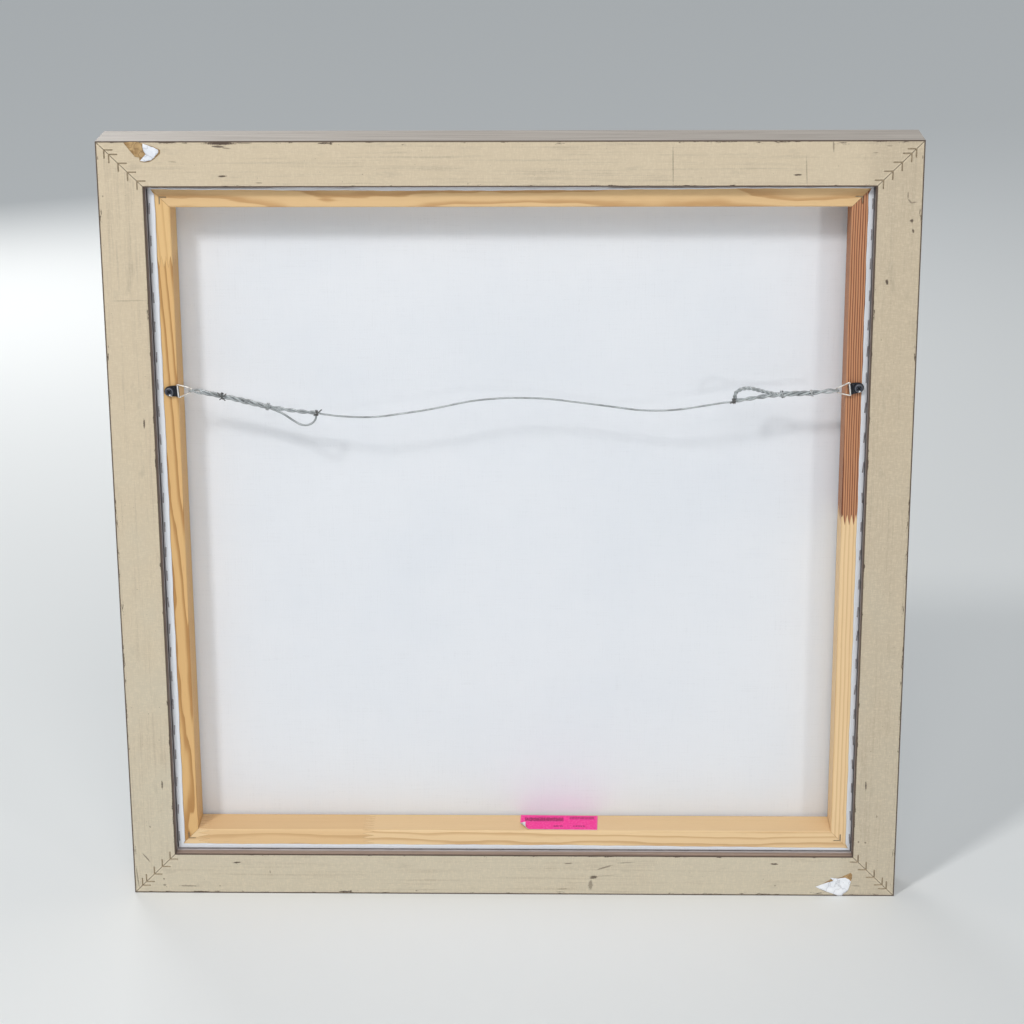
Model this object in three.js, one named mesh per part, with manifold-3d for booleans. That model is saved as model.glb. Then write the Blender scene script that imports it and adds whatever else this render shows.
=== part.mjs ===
// A stretched canvas in a deep wooden frame, with its hanging wire on the back.
// Millimetres. +X to the right and +Z up as seen from the back of the picture, +Y towards its front.
// The origin is under the middle of the frame, on the surface that its bottom rail stands on.

import * as THREE from 'three';
import { mergeVertices } from 'three/addons/utils/BufferGeometryUtils.js';
import Module from 'manifold-3d';

const wasm = await Module();
wasm.setup();

// ---------------------------------------------------------------- driving dimensions

const GAP = 0.3; // between pieces that touch
const CUT_MARGIN = 1; // how far a cutting solid starts outside the piece it cuts

// Frame
const FRAME_WIDTH = 692;
const FRAME_HEIGHT = 692;
const FRAME_DEPTH = 51;
const RAIL_FACE = 39; // width of a rail's back face
const LIP_WIDTH = 7; // the front lip that the canvas rests against
const LIP_THICKNESS = 3.7;
const RAIL_ROUND = 2.5; // outer front edge
const RAIL_STEP = 1; // the front face's inner step
const RAIL_STEP_FROM_EDGE = 7;

// Stretcher and canvas
const CANVAS_CLEARANCE = 2.5; // both sides together, in the frame's rabbet
const CANVAS_SHIFT_X = 0.4; // the canvas doesn't sit quite in the middle
const CANVAS_SHIFT_Z = 0.45;
const CLOTH = 0.7;
const BAR_FACE = 17.4; // width of a stretcher bar's back face
const BAR_DEPTH = 36;
const BAR_ROUND = 1.4;
const BAR_BEAD = 5; // the raised outer strip that the cloth bends over
const BAR_BEVEL = 3; // how far the rest of the bar's front stays behind the cloth
const BAR_BEVEL_RUN = 1.5;
const TURNOVER = { top: 4.6, bottom: 3.6, left: 5.7, right: 4.6 };

// Corner fasteners
const V_NAIL_FIRST = 7; // from the frame's outer edges
const V_NAIL_SECOND = 10.8;
const V_NAIL_LAST = 5.6; // from the rabbet's edges
const V_NAIL_COUNT = 5;
const V_NAIL_LEG = 7.3;
const V_NAIL_HEIGHT = 10;
const V_NAIL_SHEET = 0.5;
const V_NAIL_SUNK = 0.2;
const BAR_NAIL_PLACE = 8.3; // from the stretcher's outer edges
const BAR_NAIL_LEG = 6;

// Hangers
const HANGERS = {
  left: { inset: 9.9, height: 431.3, tilt: 4, direction: 1, lift: 0 },
  right: { inset: 6.5, height: 435.2, tilt: 7, direction: -1, lift: CLOTH + GAP },
};
const STRAP_SHEET = 1.2;
const STRAP_END_RADIUS = 4.4;
const STRAP_END_ARC = [100, 260]; // degrees from the strap's own direction
const STRAP_END_REACH = 2.2; // from the screw to where the strap is at its full width
const STRAP_HALF_WIDTH = 4.75;
const STRAP_REACH = 7; // screw to ring pivot
const BARREL_RADIUS = 1.6;
const RING_WIRE_RADIUS = 0.65;
const RING_HALF_BASE = 6.05;
const RING_LENGTH = 12;
const RING_HALF_TIP = 1.8;
const RING_BASE_ROUND = 1.8;
const RING_TIP_ROUND = 1.3;
const SCREW_HEAD_RADIUS = 3.9;
const SCREW_HEAD_HEIGHT = 2.4;
const SCREW_HEAD_ROUND = 1.5;
const SCREW_SHANK_RADIUS = 1.8;
const SCREW_LENGTH = 16;
const SCREW_TIP = 3;
const RECESS_WIDTH = 0.9;
const RECESS_LENGTH = 4.4;
const RECESS_DEPTH = 1.5;
const RECESS_TURN = 36;

// Hanging wire
const WIRE_RADIUS = 0.85;
const EYE_LEG = 2; // how far an eye's two legs run on past the ring
const STRAND_OFFSET = 1.1; // of each of two strands that lie side by side
const BINDING_SHEET = 0.7;
const BINDING_WIDTH = 2.6;

// Paper
const PAPER = 0.3;
const STICKER_LENGTH = 70.6;
const STICKER_WIDTH = 30.6;
const STICKER_FROM_MIDDLE = 41;
const STICKER_FROM_BACK = 16.7;
const STICKER_TURN = -1.2;
const STICKER_PEEL = [6.5, 12]; // the corner that has come away

// How finely round things are divided
const ROUND_STEPS = 5;
const BAR_ROUND_STEPS = 4;
const STRAP_END_STEPS = 14;
const STRAP_SIDES = 20;
const BORE_SIDES = 16;
const RING_STEPS = 72;
const RING_SIDES = 8;
const SCREW_SIDES = 28;
const WIRE_SIDES = 8;
const BINDING_SIDES = 20;
const MAIN_STEPS = 56;
const TAIL_STEPS = 16;
const EYE_STEPS = 16;
const EYE_BEND_STEPS = 8;

// ---------------------------------------------------------------- values that follow

const BACK = -FRAME_DEPTH / 2;
const FRONT = FRAME_DEPTH / 2;
const FRAME_MIDDLE = FRAME_HEIGHT / 2;
const LIP_BACK = FRONT - LIP_THICKNESS;
const CLOTH_FRONT = LIP_BACK - GAP;
const BAR_FRONT = CLOTH_FRONT - CLOTH - GAP;
const BAR_BACK = BAR_FRONT - BAR_DEPTH;
const CANVAS_WIDTH = FRAME_WIDTH - 2 * RAIL_FACE - CANVAS_CLEARANCE;
const CANVAS_HEIGHT = FRAME_HEIGHT - 2 * RAIL_FACE - CANVAS_CLEARANCE;
const CANVAS_X = CANVAS_SHIFT_X;
const CANVAS_Z = FRAME_MIDDLE + CANVAS_SHIFT_Z;
const STRETCHER_WIDTH = CANVAS_WIDTH - 2 * (CLOTH + GAP);
const STRETCHER_HEIGHT = CANVAS_HEIGHT - 2 * (CLOTH + GAP);
const STRETCHER_LEFT = CANVAS_X - STRETCHER_WIDTH / 2;
const STRETCHER_RIGHT = CANVAS_X + STRETCHER_WIDTH / 2;
const STRETCHER_BOTTOM = CANVAS_Z - STRETCHER_HEIGHT / 2;
const PIVOT_DEPTH = GAP + BARREL_RADIUS; // ring pivot above the face that the strap lies on
const SHANK_HOLE_RADIUS = SCREW_SHANK_RADIUS + GAP;
const EYE_BEND = RING_WIRE_RADIUS + GAP + WIRE_RADIUS;
const V_NAIL_STEP = (RAIL_FACE - V_NAIL_LAST - V_NAIL_SECOND) / (V_NAIL_COUNT - 2);
const V_NAIL_PLACES = Array.from({ length: V_NAIL_COUNT }, (_, i) =>
  (i === 0 ? V_NAIL_FIRST : V_NAIL_SECOND + (i - 1) * V_NAIL_STEP));

// ---------------------------------------------------------------- materials

const finish = (color, roughness, metalness = 0) =>
  new THREE.MeshStandardMaterial({ color, roughness, metalness });

const MATERIALS = {
  frame: finish(0xcdbf9e, 0.75),
  pine: finish(0xdcb27c, 0.7),
  canvas: finish(0xe6e9ee, 0.9),
  nail: finish(0x8b8779, 0.5, 0.8),
  strap: finish(0x2a2b30, 0.35, 0.7),
  nickel: finish(0xcfcac0, 0.25, 1),
  wire: finish(0x9a9c98, 0.4, 0.9),
  sticker: finish(0xf0468f, 0.6),
  paper: finish(0xe9eaee, 0.9),
};

// ---------------------------------------------------------------- solids

function toSolid(geometry) {
  const bare = geometry.index ? geometry.toNonIndexed() : geometry.clone();
  bare.deleteAttribute('normal');
  bare.deleteAttribute('uv');
  const merged = mergeVertices(bare, 1e-4);
  return new wasm.Manifold(new wasm.Mesh({
    numProp: 3,
    vertProperties: new Float32Array(merged.attributes.position.array),
    triVerts: new Uint32Array(merged.index.array),
  }));
}

function toGeometry(solid) {
  const result = solid.getMesh();
  const geometry = new THREE.BufferGeometry();
  const points = new Float32Array(result.vertProperties);
  geometry.setAttribute('position', new THREE.BufferAttribute(points, 3));
  geometry.setIndex(new THREE.BufferAttribute(new Uint32Array(result.triVerts), 1));
  return geometry;
}

function cutFrom(geometry, cutters) {
  let solid = toSolid(geometry);
  for (const cutter of cutters) solid = solid.subtract(toSolid(cutter));
  return toGeometry(solid);
}

function box(low, high) {
  const size = high.map((value, axis) => value - low[axis]);
  const geometry = new THREE.BoxGeometry(...size);
  return geometry.translate(...low.map((value, axis) => value + size[axis] / 2));
}

// A flat outline in X and Z, made solid from depth y0 to depth y1.
function plate(outline, y0, y1) {
  const shape = new THREE.Shape(outline.map(([x, z]) => new THREE.Vector2(x, -z)));
  const geometry = new THREE.ExtrudeGeometry(shape, { depth: y1 - y0, bevelEnabled: false });
  return geometry.rotateX(-Math.PI / 2).translate(0, y0, 0);
}

function cylinderAlong(axis, radius, length, sides) {
  const geometry = new THREE.CylinderGeometry(radius, radius, length, sides);
  if (axis === 'z') geometry.rotateX(Math.PI / 2);
  return geometry;
}

function mesh(name, geometry, material) {
  const made = new THREE.Mesh(geometry, material.clone());
  made.name = name;
  return made;
}

// ---------------------------------------------------------------- mitred bars

// The four sides of a rectangle. Each bar is made lying along X with its outer edge at z = 0
// and its inner edge above it, then turned about Y into its place.
const SIDES = {
  bottom: { turn: 0, along: 'width', x: 0, z: -0.5 },
  right: { turn: -Math.PI / 2, along: 'height', x: 0.5, z: 0 },
  top: { turn: Math.PI, along: 'width', x: 0, z: 0.5 },
  left: { turn: Math.PI / 2, along: 'height', x: -0.5, z: 0 },
};

function placeSide(object, side, width, height, centreX, centreZ) {
  const { turn, x, z } = SIDES[side];
  object.rotation.y = turn;
  object.position.set(centreX + x * width, 0, centreZ + z * height);
  return object;
}

// section holds [distance in from the outer edge, depth] points, anticlockwise seen along the bar.
function mitredBar(section, length) {
  const shape = new THREE.Shape(section.map(([inward, y]) => new THREE.Vector2(y, inward)));
  const geometry = new THREE.ExtrudeGeometry(shape, { depth: 1, bevelEnabled: false });
  const position = geometry.attributes.position;
  for (let i = 0; i < position.count; i++) {
    const y = position.getX(i);
    const inward = position.getY(i);
    const end = position.getZ(i) > 0.5 ? 1 : -1;
    position.setXYZ(i, end * (length / 2 - inward - GAP / 2), y, inward);
  }
  return geometry;
}

function arc(centreU, centreY, radius, from, to, steps) {
  return Array.from({ length: steps + 1 }, (_, i) => {
    const angle = THREE.MathUtils.degToRad(from + ((to - from) * i) / steps);
    return [centreU + radius * Math.cos(angle), centreY + radius * Math.sin(angle)];
  });
}

function railSection() {
  const sight = RAIL_FACE + LIP_WIDTH;
  const stepAt = sight - RAIL_STEP_FROM_EDGE;
  return [
    [0, BACK],
    [0, FRONT - RAIL_ROUND],
    ...arc(RAIL_ROUND, FRONT - RAIL_ROUND, RAIL_ROUND, 180, 90, ROUND_STEPS).slice(1),
    [stepAt, FRONT],
    [stepAt, FRONT - RAIL_STEP],
    [sight - RAIL_STEP, FRONT - RAIL_STEP],
    [sight, FRONT - 2 * RAIL_STEP],
    [sight, LIP_BACK],
    [RAIL_FACE, LIP_BACK],
    [RAIL_FACE, BACK],
  ];
}

function barSection() {
  return [
    [0, BAR_BACK],
    [0, BAR_FRONT - BAR_ROUND],
    ...arc(BAR_ROUND, BAR_FRONT - BAR_ROUND, BAR_ROUND, 180, 90, BAR_ROUND_STEPS).slice(1),
    [BAR_BEAD, BAR_FRONT],
    [BAR_BEAD + BAR_BEVEL_RUN, BAR_FRONT - BAR_BEVEL],
    [BAR_FACE, BAR_FRONT - BAR_BEVEL],
    ...arc(BAR_FACE - BAR_ROUND, BAR_BACK + BAR_ROUND, BAR_ROUND, 0, -90, BAR_ROUND_STEPS),
  ];
}

// ---------------------------------------------------------------- corner fasteners

// A right-angled strip of sheet whose point faces the outer corner. With a margin it is its slot.
function chevron(leg, y0, y1, margin) {
  const far = leg + margin;
  const near = -margin;
  const inside = V_NAIL_SHEET + margin;
  const outline = [
    [near, near],
    [far, near],
    [far, inside],
    [inside, inside],
    [inside, far],
    [near, far],
  ];
  return plate(outline, y0, y1);
}

const CORNERS = {
  bottom_left: { turn: 0, x: -0.5, z: -0.5 },
  bottom_right: { turn: -Math.PI / 2, x: 0.5, z: -0.5 },
  top_right: { turn: Math.PI, x: 0.5, z: 0.5 },
  top_left: { turn: Math.PI / 2, x: -0.5, z: 0.5 },
};

function cornerGroup(corner, width, height, centreX, centreZ, children) {
  const { turn, x, z } = CORNERS[corner];
  const group = new THREE.Group();
  group.rotation.y = turn;
  group.position.set(centreX + x * width, 0, centreZ + z * height);
  group.add(...children);
  return group;
}

function vNail(name, place, leg, y0) {
  const nail = mesh(name, chevron(leg, y0, y0 + V_NAIL_HEIGHT, 0), MATERIALS.nail);
  nail.position.set(place, 0, place);
  return nail;
}

// The slots at both ends of a bar, in that bar's own frame.
function vNailSlots(length, places, leg, back) {
  const slots = [];
  for (const place of places) {
    const slot = chevron(leg, back - CUT_MARGIN, back + V_NAIL_SUNK + V_NAIL_HEIGHT + GAP, GAP);
    slots.push(slot.clone().translate(place - length / 2, 0, place));
    slots.push(slot.clone().rotateY(-Math.PI / 2).translate(length / 2 - place, 0, place));
  }
  return slots;
}

// ---------------------------------------------------------------- frame

function frameParts() {
  const group = new THREE.Group();
  for (const side of Object.keys(SIDES)) {
    const length = SIDES[side].along === 'width' ? FRAME_WIDTH : FRAME_HEIGHT;
    const slots = vNailSlots(length, V_NAIL_PLACES, V_NAIL_LEG, BACK);
    const solid = cutFrom(mitredBar(railSection(), length), slots);
    const rail = mesh(`frame_rail_${side}`, solid, MATERIALS.frame);
    group.add(placeSide(rail, side, FRAME_WIDTH, FRAME_HEIGHT, 0, FRAME_MIDDLE));
  }
  for (const corner of Object.keys(CORNERS)) {
    const nails = V_NAIL_PLACES.map((place, i) =>
      vNail(`frame_v_nail_${corner}_${i + 1}`, place, V_NAIL_LEG, BACK + V_NAIL_SUNK));
    group.add(cornerGroup(corner, FRAME_WIDTH, FRAME_HEIGHT, 0, FRAME_MIDDLE, nails));
  }
  return group;
}

// ---------------------------------------------------------------- stretcher

function hangerBase(side) {
  const { inset, height, lift } = HANGERS[side];
  const x = side === 'left' ? STRETCHER_LEFT + inset : STRETCHER_RIGHT - inset;
  return new THREE.Vector3(x, BAR_BACK - lift, STRETCHER_BOTTOM + height);
}

// The screw's pilot hole, in the frame of the upright bar that it goes into.
function pilotHole(side) {
  const base = hangerBase(side);
  const depth = SCREW_LENGTH + CUT_MARGIN;
  const hole = cylinderAlong('y', SHANK_HOLE_RADIUS, depth + CUT_MARGIN, BORE_SIDES);
  const along = (base.z - CANVAS_Z) * (side === 'left' ? -1 : 1);
  return hole.translate(along, BAR_BACK + depth / 2 - CUT_MARGIN / 2, HANGERS[side].inset);
}

function stretcherParts() {
  const group = new THREE.Group();
  for (const side of Object.keys(SIDES)) {
    const length = SIDES[side].along === 'width' ? STRETCHER_WIDTH : STRETCHER_HEIGHT;
    const cutters = vNailSlots(length, [BAR_NAIL_PLACE], BAR_NAIL_LEG, BAR_BACK);
    if (side in HANGERS) cutters.push(pilotHole(side));
    const solid = cutFrom(mitredBar(barSection(), length), cutters);
    const bar = mesh(`stretcher_bar_${side}`, solid, MATERIALS.pine);
    group.add(placeSide(bar, side, STRETCHER_WIDTH, STRETCHER_HEIGHT, CANVAS_X, CANVAS_Z));
  }
  for (const corner of Object.keys(CORNERS)) {
    const name = `stretcher_v_nail_${corner}`;
    const nail = vNail(name, BAR_NAIL_PLACE, BAR_NAIL_LEG, BAR_BACK + V_NAIL_SUNK);
    group.add(cornerGroup(corner, STRETCHER_WIDTH, STRETCHER_HEIGHT, CANVAS_X, CANVAS_Z, [nail]));
  }
  return group;
}

// The cloth over the front, round the sides and turned over onto the backs of the bars.
function canvasPart() {
  const x = CANVAS_WIDTH / 2;
  const z = CANVAS_HEIGHT / 2;
  const back = BAR_BACK - GAP - CLOTH;
  const outer = box([-x, back, -z], [x, CLOTH_FRONT, z]);
  const inside = box(
    [CLOTH - x, BAR_BACK - GAP, CLOTH - z],
    [x - CLOTH, CLOTH_FRONT - CLOTH, z - CLOTH],
  );
  const mouth = box(
    [TURNOVER.left - x, back - CUT_MARGIN, TURNOVER.bottom - z],
    [x - TURNOVER.right, BAR_BACK + CUT_MARGIN, z - TURNOVER.top],
  );
  const canvas = mesh('canvas', cutFrom(outer, [inside, mouth]), MATERIALS.canvas);
  canvas.position.set(CANVAS_X, 0, CANVAS_Z);
  return canvas;
}

// ---------------------------------------------------------------- hangers

// Each is made pointing along +X from its screw, with the face that it lies on at y = 0.
function strapGeometry() {
  const outline = [
    ...arc(0, 0, STRAP_END_RADIUS, ...STRAP_END_ARC, STRAP_END_STEPS),
    [STRAP_END_REACH, -STRAP_HALF_WIDTH],
    [STRAP_REACH, -STRAP_HALF_WIDTH],
    [STRAP_REACH, STRAP_HALF_WIDTH],
    [STRAP_END_REACH, STRAP_HALF_WIDTH],
  ];
  const sheet = toSolid(plate(outline, -GAP - STRAP_SHEET, -GAP));
  const width = 2 * STRAP_HALF_WIDTH;
  const through = 2 * CUT_MARGIN;
  const barrel = cylinderAlong('z', BARREL_RADIUS, width, STRAP_SIDES);
  const bore = cylinderAlong('z', RING_WIRE_RADIUS + GAP, width + through, BORE_SIDES);
  const hole = cylinderAlong('y', SHANK_HOLE_RADIUS, STRAP_SHEET + 2 * GAP + through, STRAP_SIDES);
  return toGeometry(sheet
    .add(toSolid(barrel.translate(STRAP_REACH, -PIVOT_DEPTH, 0)))
    .subtract(toSolid(bore.translate(STRAP_REACH, -PIVOT_DEPTH, 0)))
    .subtract(toSolid(hole)));
}

// A closed loop of round wire: a long base in the strap, two sides and a blunt tip.
function ringGeometry() {
  const corners = [
    [0, RING_HALF_BASE, RING_BASE_ROUND],
    [RING_LENGTH, RING_HALF_TIP, RING_TIP_ROUND],
    [RING_LENGTH, -RING_HALF_TIP, RING_TIP_ROUND],
    [0, -RING_HALF_BASE, RING_BASE_ROUND],
  ].map(([x, z, round]) => ({ point: new THREE.Vector3(x, 0, z), round }));
  const path = new THREE.CurvePath();
  const towards = (from, to, distance) =>
    from.clone().add(to.clone().sub(from).setLength(distance));
  corners.forEach(({ point, round }, i) => {
    const before = corners[(i + corners.length - 1) % corners.length].point;
    const next = corners[(i + 1) % corners.length];
    const leave = towards(point, next.point, round);
    path.add(new THREE.QuadraticBezierCurve3(towards(point, before, round), point, leave));
    path.add(new THREE.LineCurve3(leave, towards(next.point, point, next.round)));
  });
  const ring = new THREE.TubeGeometry(path, RING_STEPS, RING_WIRE_RADIUS, RING_SIDES, true);
  return ring.translate(STRAP_REACH, -PIVOT_DEPTH, 0);
}

function screwGeometry() {
  const under = GAP + STRAP_SHEET + GAP;
  const crown = SCREW_HEAD_HEIGHT - SCREW_HEAD_ROUND;
  const head = arc(SCREW_HEAD_RADIUS - SCREW_HEAD_ROUND, crown, SCREW_HEAD_ROUND, 0, 90, ROUND_STEPS);
  const profile = [
    [0, -SCREW_LENGTH],
    [SCREW_SHANK_RADIUS, SCREW_TIP - SCREW_LENGTH],
    [SCREW_SHANK_RADIUS, 0],
    [SCREW_HEAD_RADIUS, 0],
    ...head,
    [0, SCREW_HEAD_HEIGHT],
  ];
  const points = profile.map(([r, y]) => new THREE.Vector2(r, y));
  const body = new THREE.LatheGeometry(points, SCREW_SIDES);
  const half = RECESS_LENGTH / 2;
  const thin = RECESS_WIDTH / 2;
  const floor = SCREW_HEAD_HEIGHT - RECESS_DEPTH;
  const top = SCREW_HEAD_HEIGHT + CUT_MARGIN;
  const recess = [
    box([-half, floor, -thin], [half, top, thin]),
    box([-thin, floor, -half], [thin, top, half]),
  ];
  const turned = recess.map((cutter) => cutter.rotateY(THREE.MathUtils.degToRad(RECESS_TURN)));
  return cutFrom(body, turned).rotateX(Math.PI).translate(0, -under, 0);
}

function hangerParts(side) {
  const { tilt, direction } = HANGERS[side];
  const group = new THREE.Group();
  group.position.copy(hangerBase(side));
  const rise = -THREE.MathUtils.degToRad(tilt);
  group.rotation.y = direction > 0 ? rise : Math.PI + rise;
  group.add(mesh(`hanger_strap_${side}`, strapGeometry(), MATERIALS.strap));
  group.add(mesh(`hanger_ring_${side}`, ringGeometry(), MATERIALS.nickel));
  group.add(mesh(`hanger_screw_${side}`, screwGeometry(), MATERIALS.strap));
  return group;
}

// ---------------------------------------------------------------- hanging wire

// The run of the wire between its two rings, and the tail that comes back from each ring.
const WIRE_ROUTE = [
  [-273.0, -19.15, 474.0],
  [-262.0, -18.3, 472.9],
  [-248.5, -17.5, 470.2],
  [-229.5, -17.5, 465.7],
  [-209.5, -17.5, 460.8],
  [-196.0, -17.5, 457.9],
  [-182.0, -17.5, 455.7],
  [-167.5, -17.5, 454.0],
  [-153.5, -17.5, 451.8],
  [-139.0, -17.5, 450.6],
  [-126.0, -17.5, 450.2],
  [-113.0, -17.6, 450.9],
  [-99.0, -17.7, 452.8],
  [-70.5, -17.8, 457.3],
  [-36.0, -18.0, 464.5],
  [-14.0, -18.0, 467.0],
  [4.5, -18.0, 467.8],
  [30.5, -18.0, 467.0],
  [56.5, -18.0, 464.0],
  [85.0, -18.0, 460.3],
  [109.0, -18.1, 457.2],
  [128.5, -18.2, 456.5],
  [146.0, -18.3, 457.7],
  [160.5, -18.4, 459.9],
  [176.0, -18.4, 462.5],
  [192.0, -18.4, 465.2],
  [207.5, -18.4, 467.4],
  [218.0, -18.4, 468.8],
  [233.5, -18.4, 470.2],
  [246.0, -18.5, 470.8],
  [258.5, -18.5, 471.4],
  [268.0, -19.3, 472.9],
  [277.3, -20.15, 474.5],
];
const LEFT_TAIL_ROUTE = [
  [-273.0, -15.55, 474.0],
  [-262.0, -16.5, 470.7],
  [-248.5, -17.5, 468.0],
  [-229.5, -17.5, 463.5],
  [-209.5, -17.5, 458.5],
  [-201.0, -17.5, 455.4],
  [-195.5, -17.5, 452.5],
  [-187.5, -17.5, 446.9],
  [-182.0, -17.5, 443.8],
  [-177.0, -17.5, 443.0],
  [-172.0, -17.5, 444.7],
  [-169.0, -17.5, 448.0],
  [-168.2, -17.5, 451.5],
];
const RIGHT_TAIL_ROUTE = [
  [277.3, -16.55, 474.5],
  [268.0, -17.6, 474.3],
  [258.5, -18.5, 473.6],
  [246.0, -18.5, 473.0],
  [233.5, -18.4, 472.4],
  [222.0, -18.4, 472.5],
  [213.0, -18.4, 474.8],
  [205.0, -18.4, 476.6],
  [198.0, -18.4, 475.7],
  [193.5, -18.4, 472.5],
  [192.8, -18.4, 468.6],
];

// Where each binding sits, which way the wire runs there, and the radius of what it goes round.
const PAIR = STRAND_OFFSET + WIRE_RADIUS + GAP;
const SINGLE = WIRE_RADIUS + GAP;
const BINDINGS = {
  left_1: { at: [-248.5, -17.5, 469.1], towards: [-229.5, -17.5, 464.6], inside: PAIR },
  left_2: { at: [-209.5, -17.5, 459.65], towards: [-190, -17.5, 455.2], inside: PAIR },
  left_3: { at: [-167.5, -17.5, 454.0], towards: [-153.5, -17.5, 451.8], inside: SINGLE },
  right_1: { at: [258.5, -18.5, 472.5], towards: [246.0, -18.5, 471.9], inside: PAIR },
  right_2: { at: [233.5, -18.4, 471.3], towards: [222.0, -18.4, 470.2], inside: PAIR },
  right_3: { at: [192.0, -18.4, 465.2], towards: [176.0, -18.4, 462.5], inside: SINGLE },
};

function wireTube(path, steps) {
  const section = Array.from({ length: WIRE_SIDES }, (_, i) => {
    const angle = (2 * Math.PI * (i + 0.5)) / WIRE_SIDES;
    return new THREE.Vector2(WIRE_RADIUS * Math.cos(angle), WIRE_RADIUS * Math.sin(angle));
  });
  return new THREE.ExtrudeGeometry(new THREE.Shape(section), { steps, extrudePath: path });
}

function smoothPath(points) {
  return new THREE.CatmullRomCurve3(points.map((p) => new THREE.Vector3(...p)), false, 'centripetal');
}

// The U-bend that passes through a ring's tip, from in front of the ring to behind it.
function eyePart(side) {
  const { tilt, direction } = HANGERS[side];
  const angle = THREE.MathUtils.degToRad(tilt);
  const reach = STRAP_REACH + RING_LENGTH;
  const tip = hangerBase(side).add(new THREE.Vector3(
    direction * reach * Math.cos(angle),
    -PIVOT_DEPTH,
    direction * reach * Math.sin(angle),
  ));
  const route = side === 'left' ? WIRE_ROUTE : [...WIRE_ROUTE].reverse();
  const run = new THREE.Vector3(route[1][0] - tip.x, 0, route[1][2] - tip.z).normalize();
  const depth = new THREE.Vector3(0, 1, 0);
  const at = (along, across) => tip.clone().addScaledVector(run, along).addScaledVector(depth, across);
  const bend = Array.from({ length: EYE_BEND_STEPS + 1 }, (_, i) => {
    const turn = (Math.PI * i) / EYE_BEND_STEPS;
    return at(-EYE_BEND * Math.sin(turn), -EYE_BEND * Math.cos(turn));
  });
  const points = [at(EYE_LEG - GAP, -EYE_BEND), ...bend, at(EYE_LEG - GAP, EYE_BEND)];
  const path = new THREE.CatmullRomCurve3(points, false, 'centripetal');
  return mesh(`wire_eye_${side}`, wireTube(path, EYE_STEPS), MATERIALS.wire);
}

function bindingPart(name, { at, towards, inside }) {
  const outside = inside + BINDING_SHEET;
  const half = BINDING_WIDTH / 2;
  const profile = [
    [inside, -half],
    [outside, -half],
    [outside, half],
    [inside, half],
    [inside, -half],
  ];
  const points = profile.map(([r, y]) => new THREE.Vector2(r, y));
  const geometry = new THREE.LatheGeometry(points, BINDING_SIDES);
  const binding = mesh(`wire_binding_${name}`, geometry, MATERIALS.wire);
  const place = new THREE.Vector3(...at);
  const run = new THREE.Vector3(...towards).sub(place).normalize();
  binding.quaternion.setFromUnitVectors(new THREE.Vector3(0, 1, 0), run);
  binding.position.copy(place);
  return binding;
}

function wireParts() {
  const group = new THREE.Group();
  const strands = [
    ['hanging_wire', WIRE_ROUTE, MAIN_STEPS],
    ['wire_tail_left', LEFT_TAIL_ROUTE, TAIL_STEPS],
    ['wire_tail_right', RIGHT_TAIL_ROUTE, TAIL_STEPS],
  ];
  for (const [name, route, steps] of strands) {
    group.add(mesh(name, wireTube(smoothPath(route), steps), MATERIALS.wire));
  }
  group.add(eyePart('left'), eyePart('right'));
  for (const [name, binding] of Object.entries(BINDINGS)) group.add(bindingPart(name, binding));
  return group;
}

// ---------------------------------------------------------------- paper

// Scraps of torn backing paper on the back face of the frame: outlines in X and Z from a corner.
const TOP_SCRAP = [
  [23, -1.2], [35, -0.4], [43, -1.4], [50, -5], [53.6, -7.6], [53.6, -10.6],
  [50.8, -13], [48.5, -15.5], [44, -17.2], [37.4, -18.1], [37.4, -14.8], [29, -8.8],
];
const BOTTOM_SCRAP = [
  [-72.7, 9.3], [-63.5, 15.6], [-55.7, 20.2], [-50.3, 18.6], [-40.6, 23], [-38.7, 21.6],
  [-39.1, 17.9], [-42, 4.8], [-44.5, 1.2], [-53, 1], [-63, 3.2], [-71, 7.8],
];

function scrapPart(name, outline, cornerX, cornerZ) {
  const scrap = mesh(name, plate(outline, -PAPER, 0), MATERIALS.paper);
  scrap.position.set(cornerX, BACK - GAP, cornerZ);
  return scrap;
}

// The size sticker on the bottom bar's inner side, with one corner peeled away.
function stickerPart() {
  const x = STICKER_LENGTH / 2;
  const y = STICKER_WIDTH / 2;
  const outline = [
    [STICKER_PEEL[0] - x, -y],
    [x, -y],
    [x, y],
    [-x, y],
    [-x, STICKER_PEEL[1] - y],
  ];
  const shape = new THREE.Shape(outline.map((point) => new THREE.Vector2(...point)));
  const geometry = new THREE.ExtrudeGeometry(shape, { depth: PAPER, bevelEnabled: false });
  const sticker = mesh('size_sticker', geometry, MATERIALS.sticker);
  sticker.rotation.z = THREE.MathUtils.degToRad(STICKER_TURN);
  const top = STRETCHER_BOTTOM + BAR_FACE + GAP;
  sticker.position.set(CANVAS_X + STICKER_FROM_MIDDLE, BAR_BACK + STICKER_FROM_BACK, top);
  return sticker;
}

// ---------------------------------------------------------------- the whole picture

const stretchedCanvas = new THREE.Group();
stretchedCanvas.add(frameParts());
stretchedCanvas.add(stretcherParts());
stretchedCanvas.add(canvasPart());
stretchedCanvas.add(hangerParts('left'), hangerParts('right'));
stretchedCanvas.add(wireParts());
stretchedCanvas.add(stickerPart());
stretchedCanvas.add(scrapPart('paper_scrap_top', TOP_SCRAP, -FRAME_WIDTH / 2, FRAME_HEIGHT));
stretchedCanvas.add(scrapPart('paper_scrap_bottom', BOTTOM_SCRAP, FRAME_WIDTH / 2, 0));

export default stretchedCanvas;
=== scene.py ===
"""The looks of a framed stretched canvas, seen from the back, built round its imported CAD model."""

import math

import bpy
import numpy as np
from mathutils import Euler, Matrix, Vector, geometry


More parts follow.
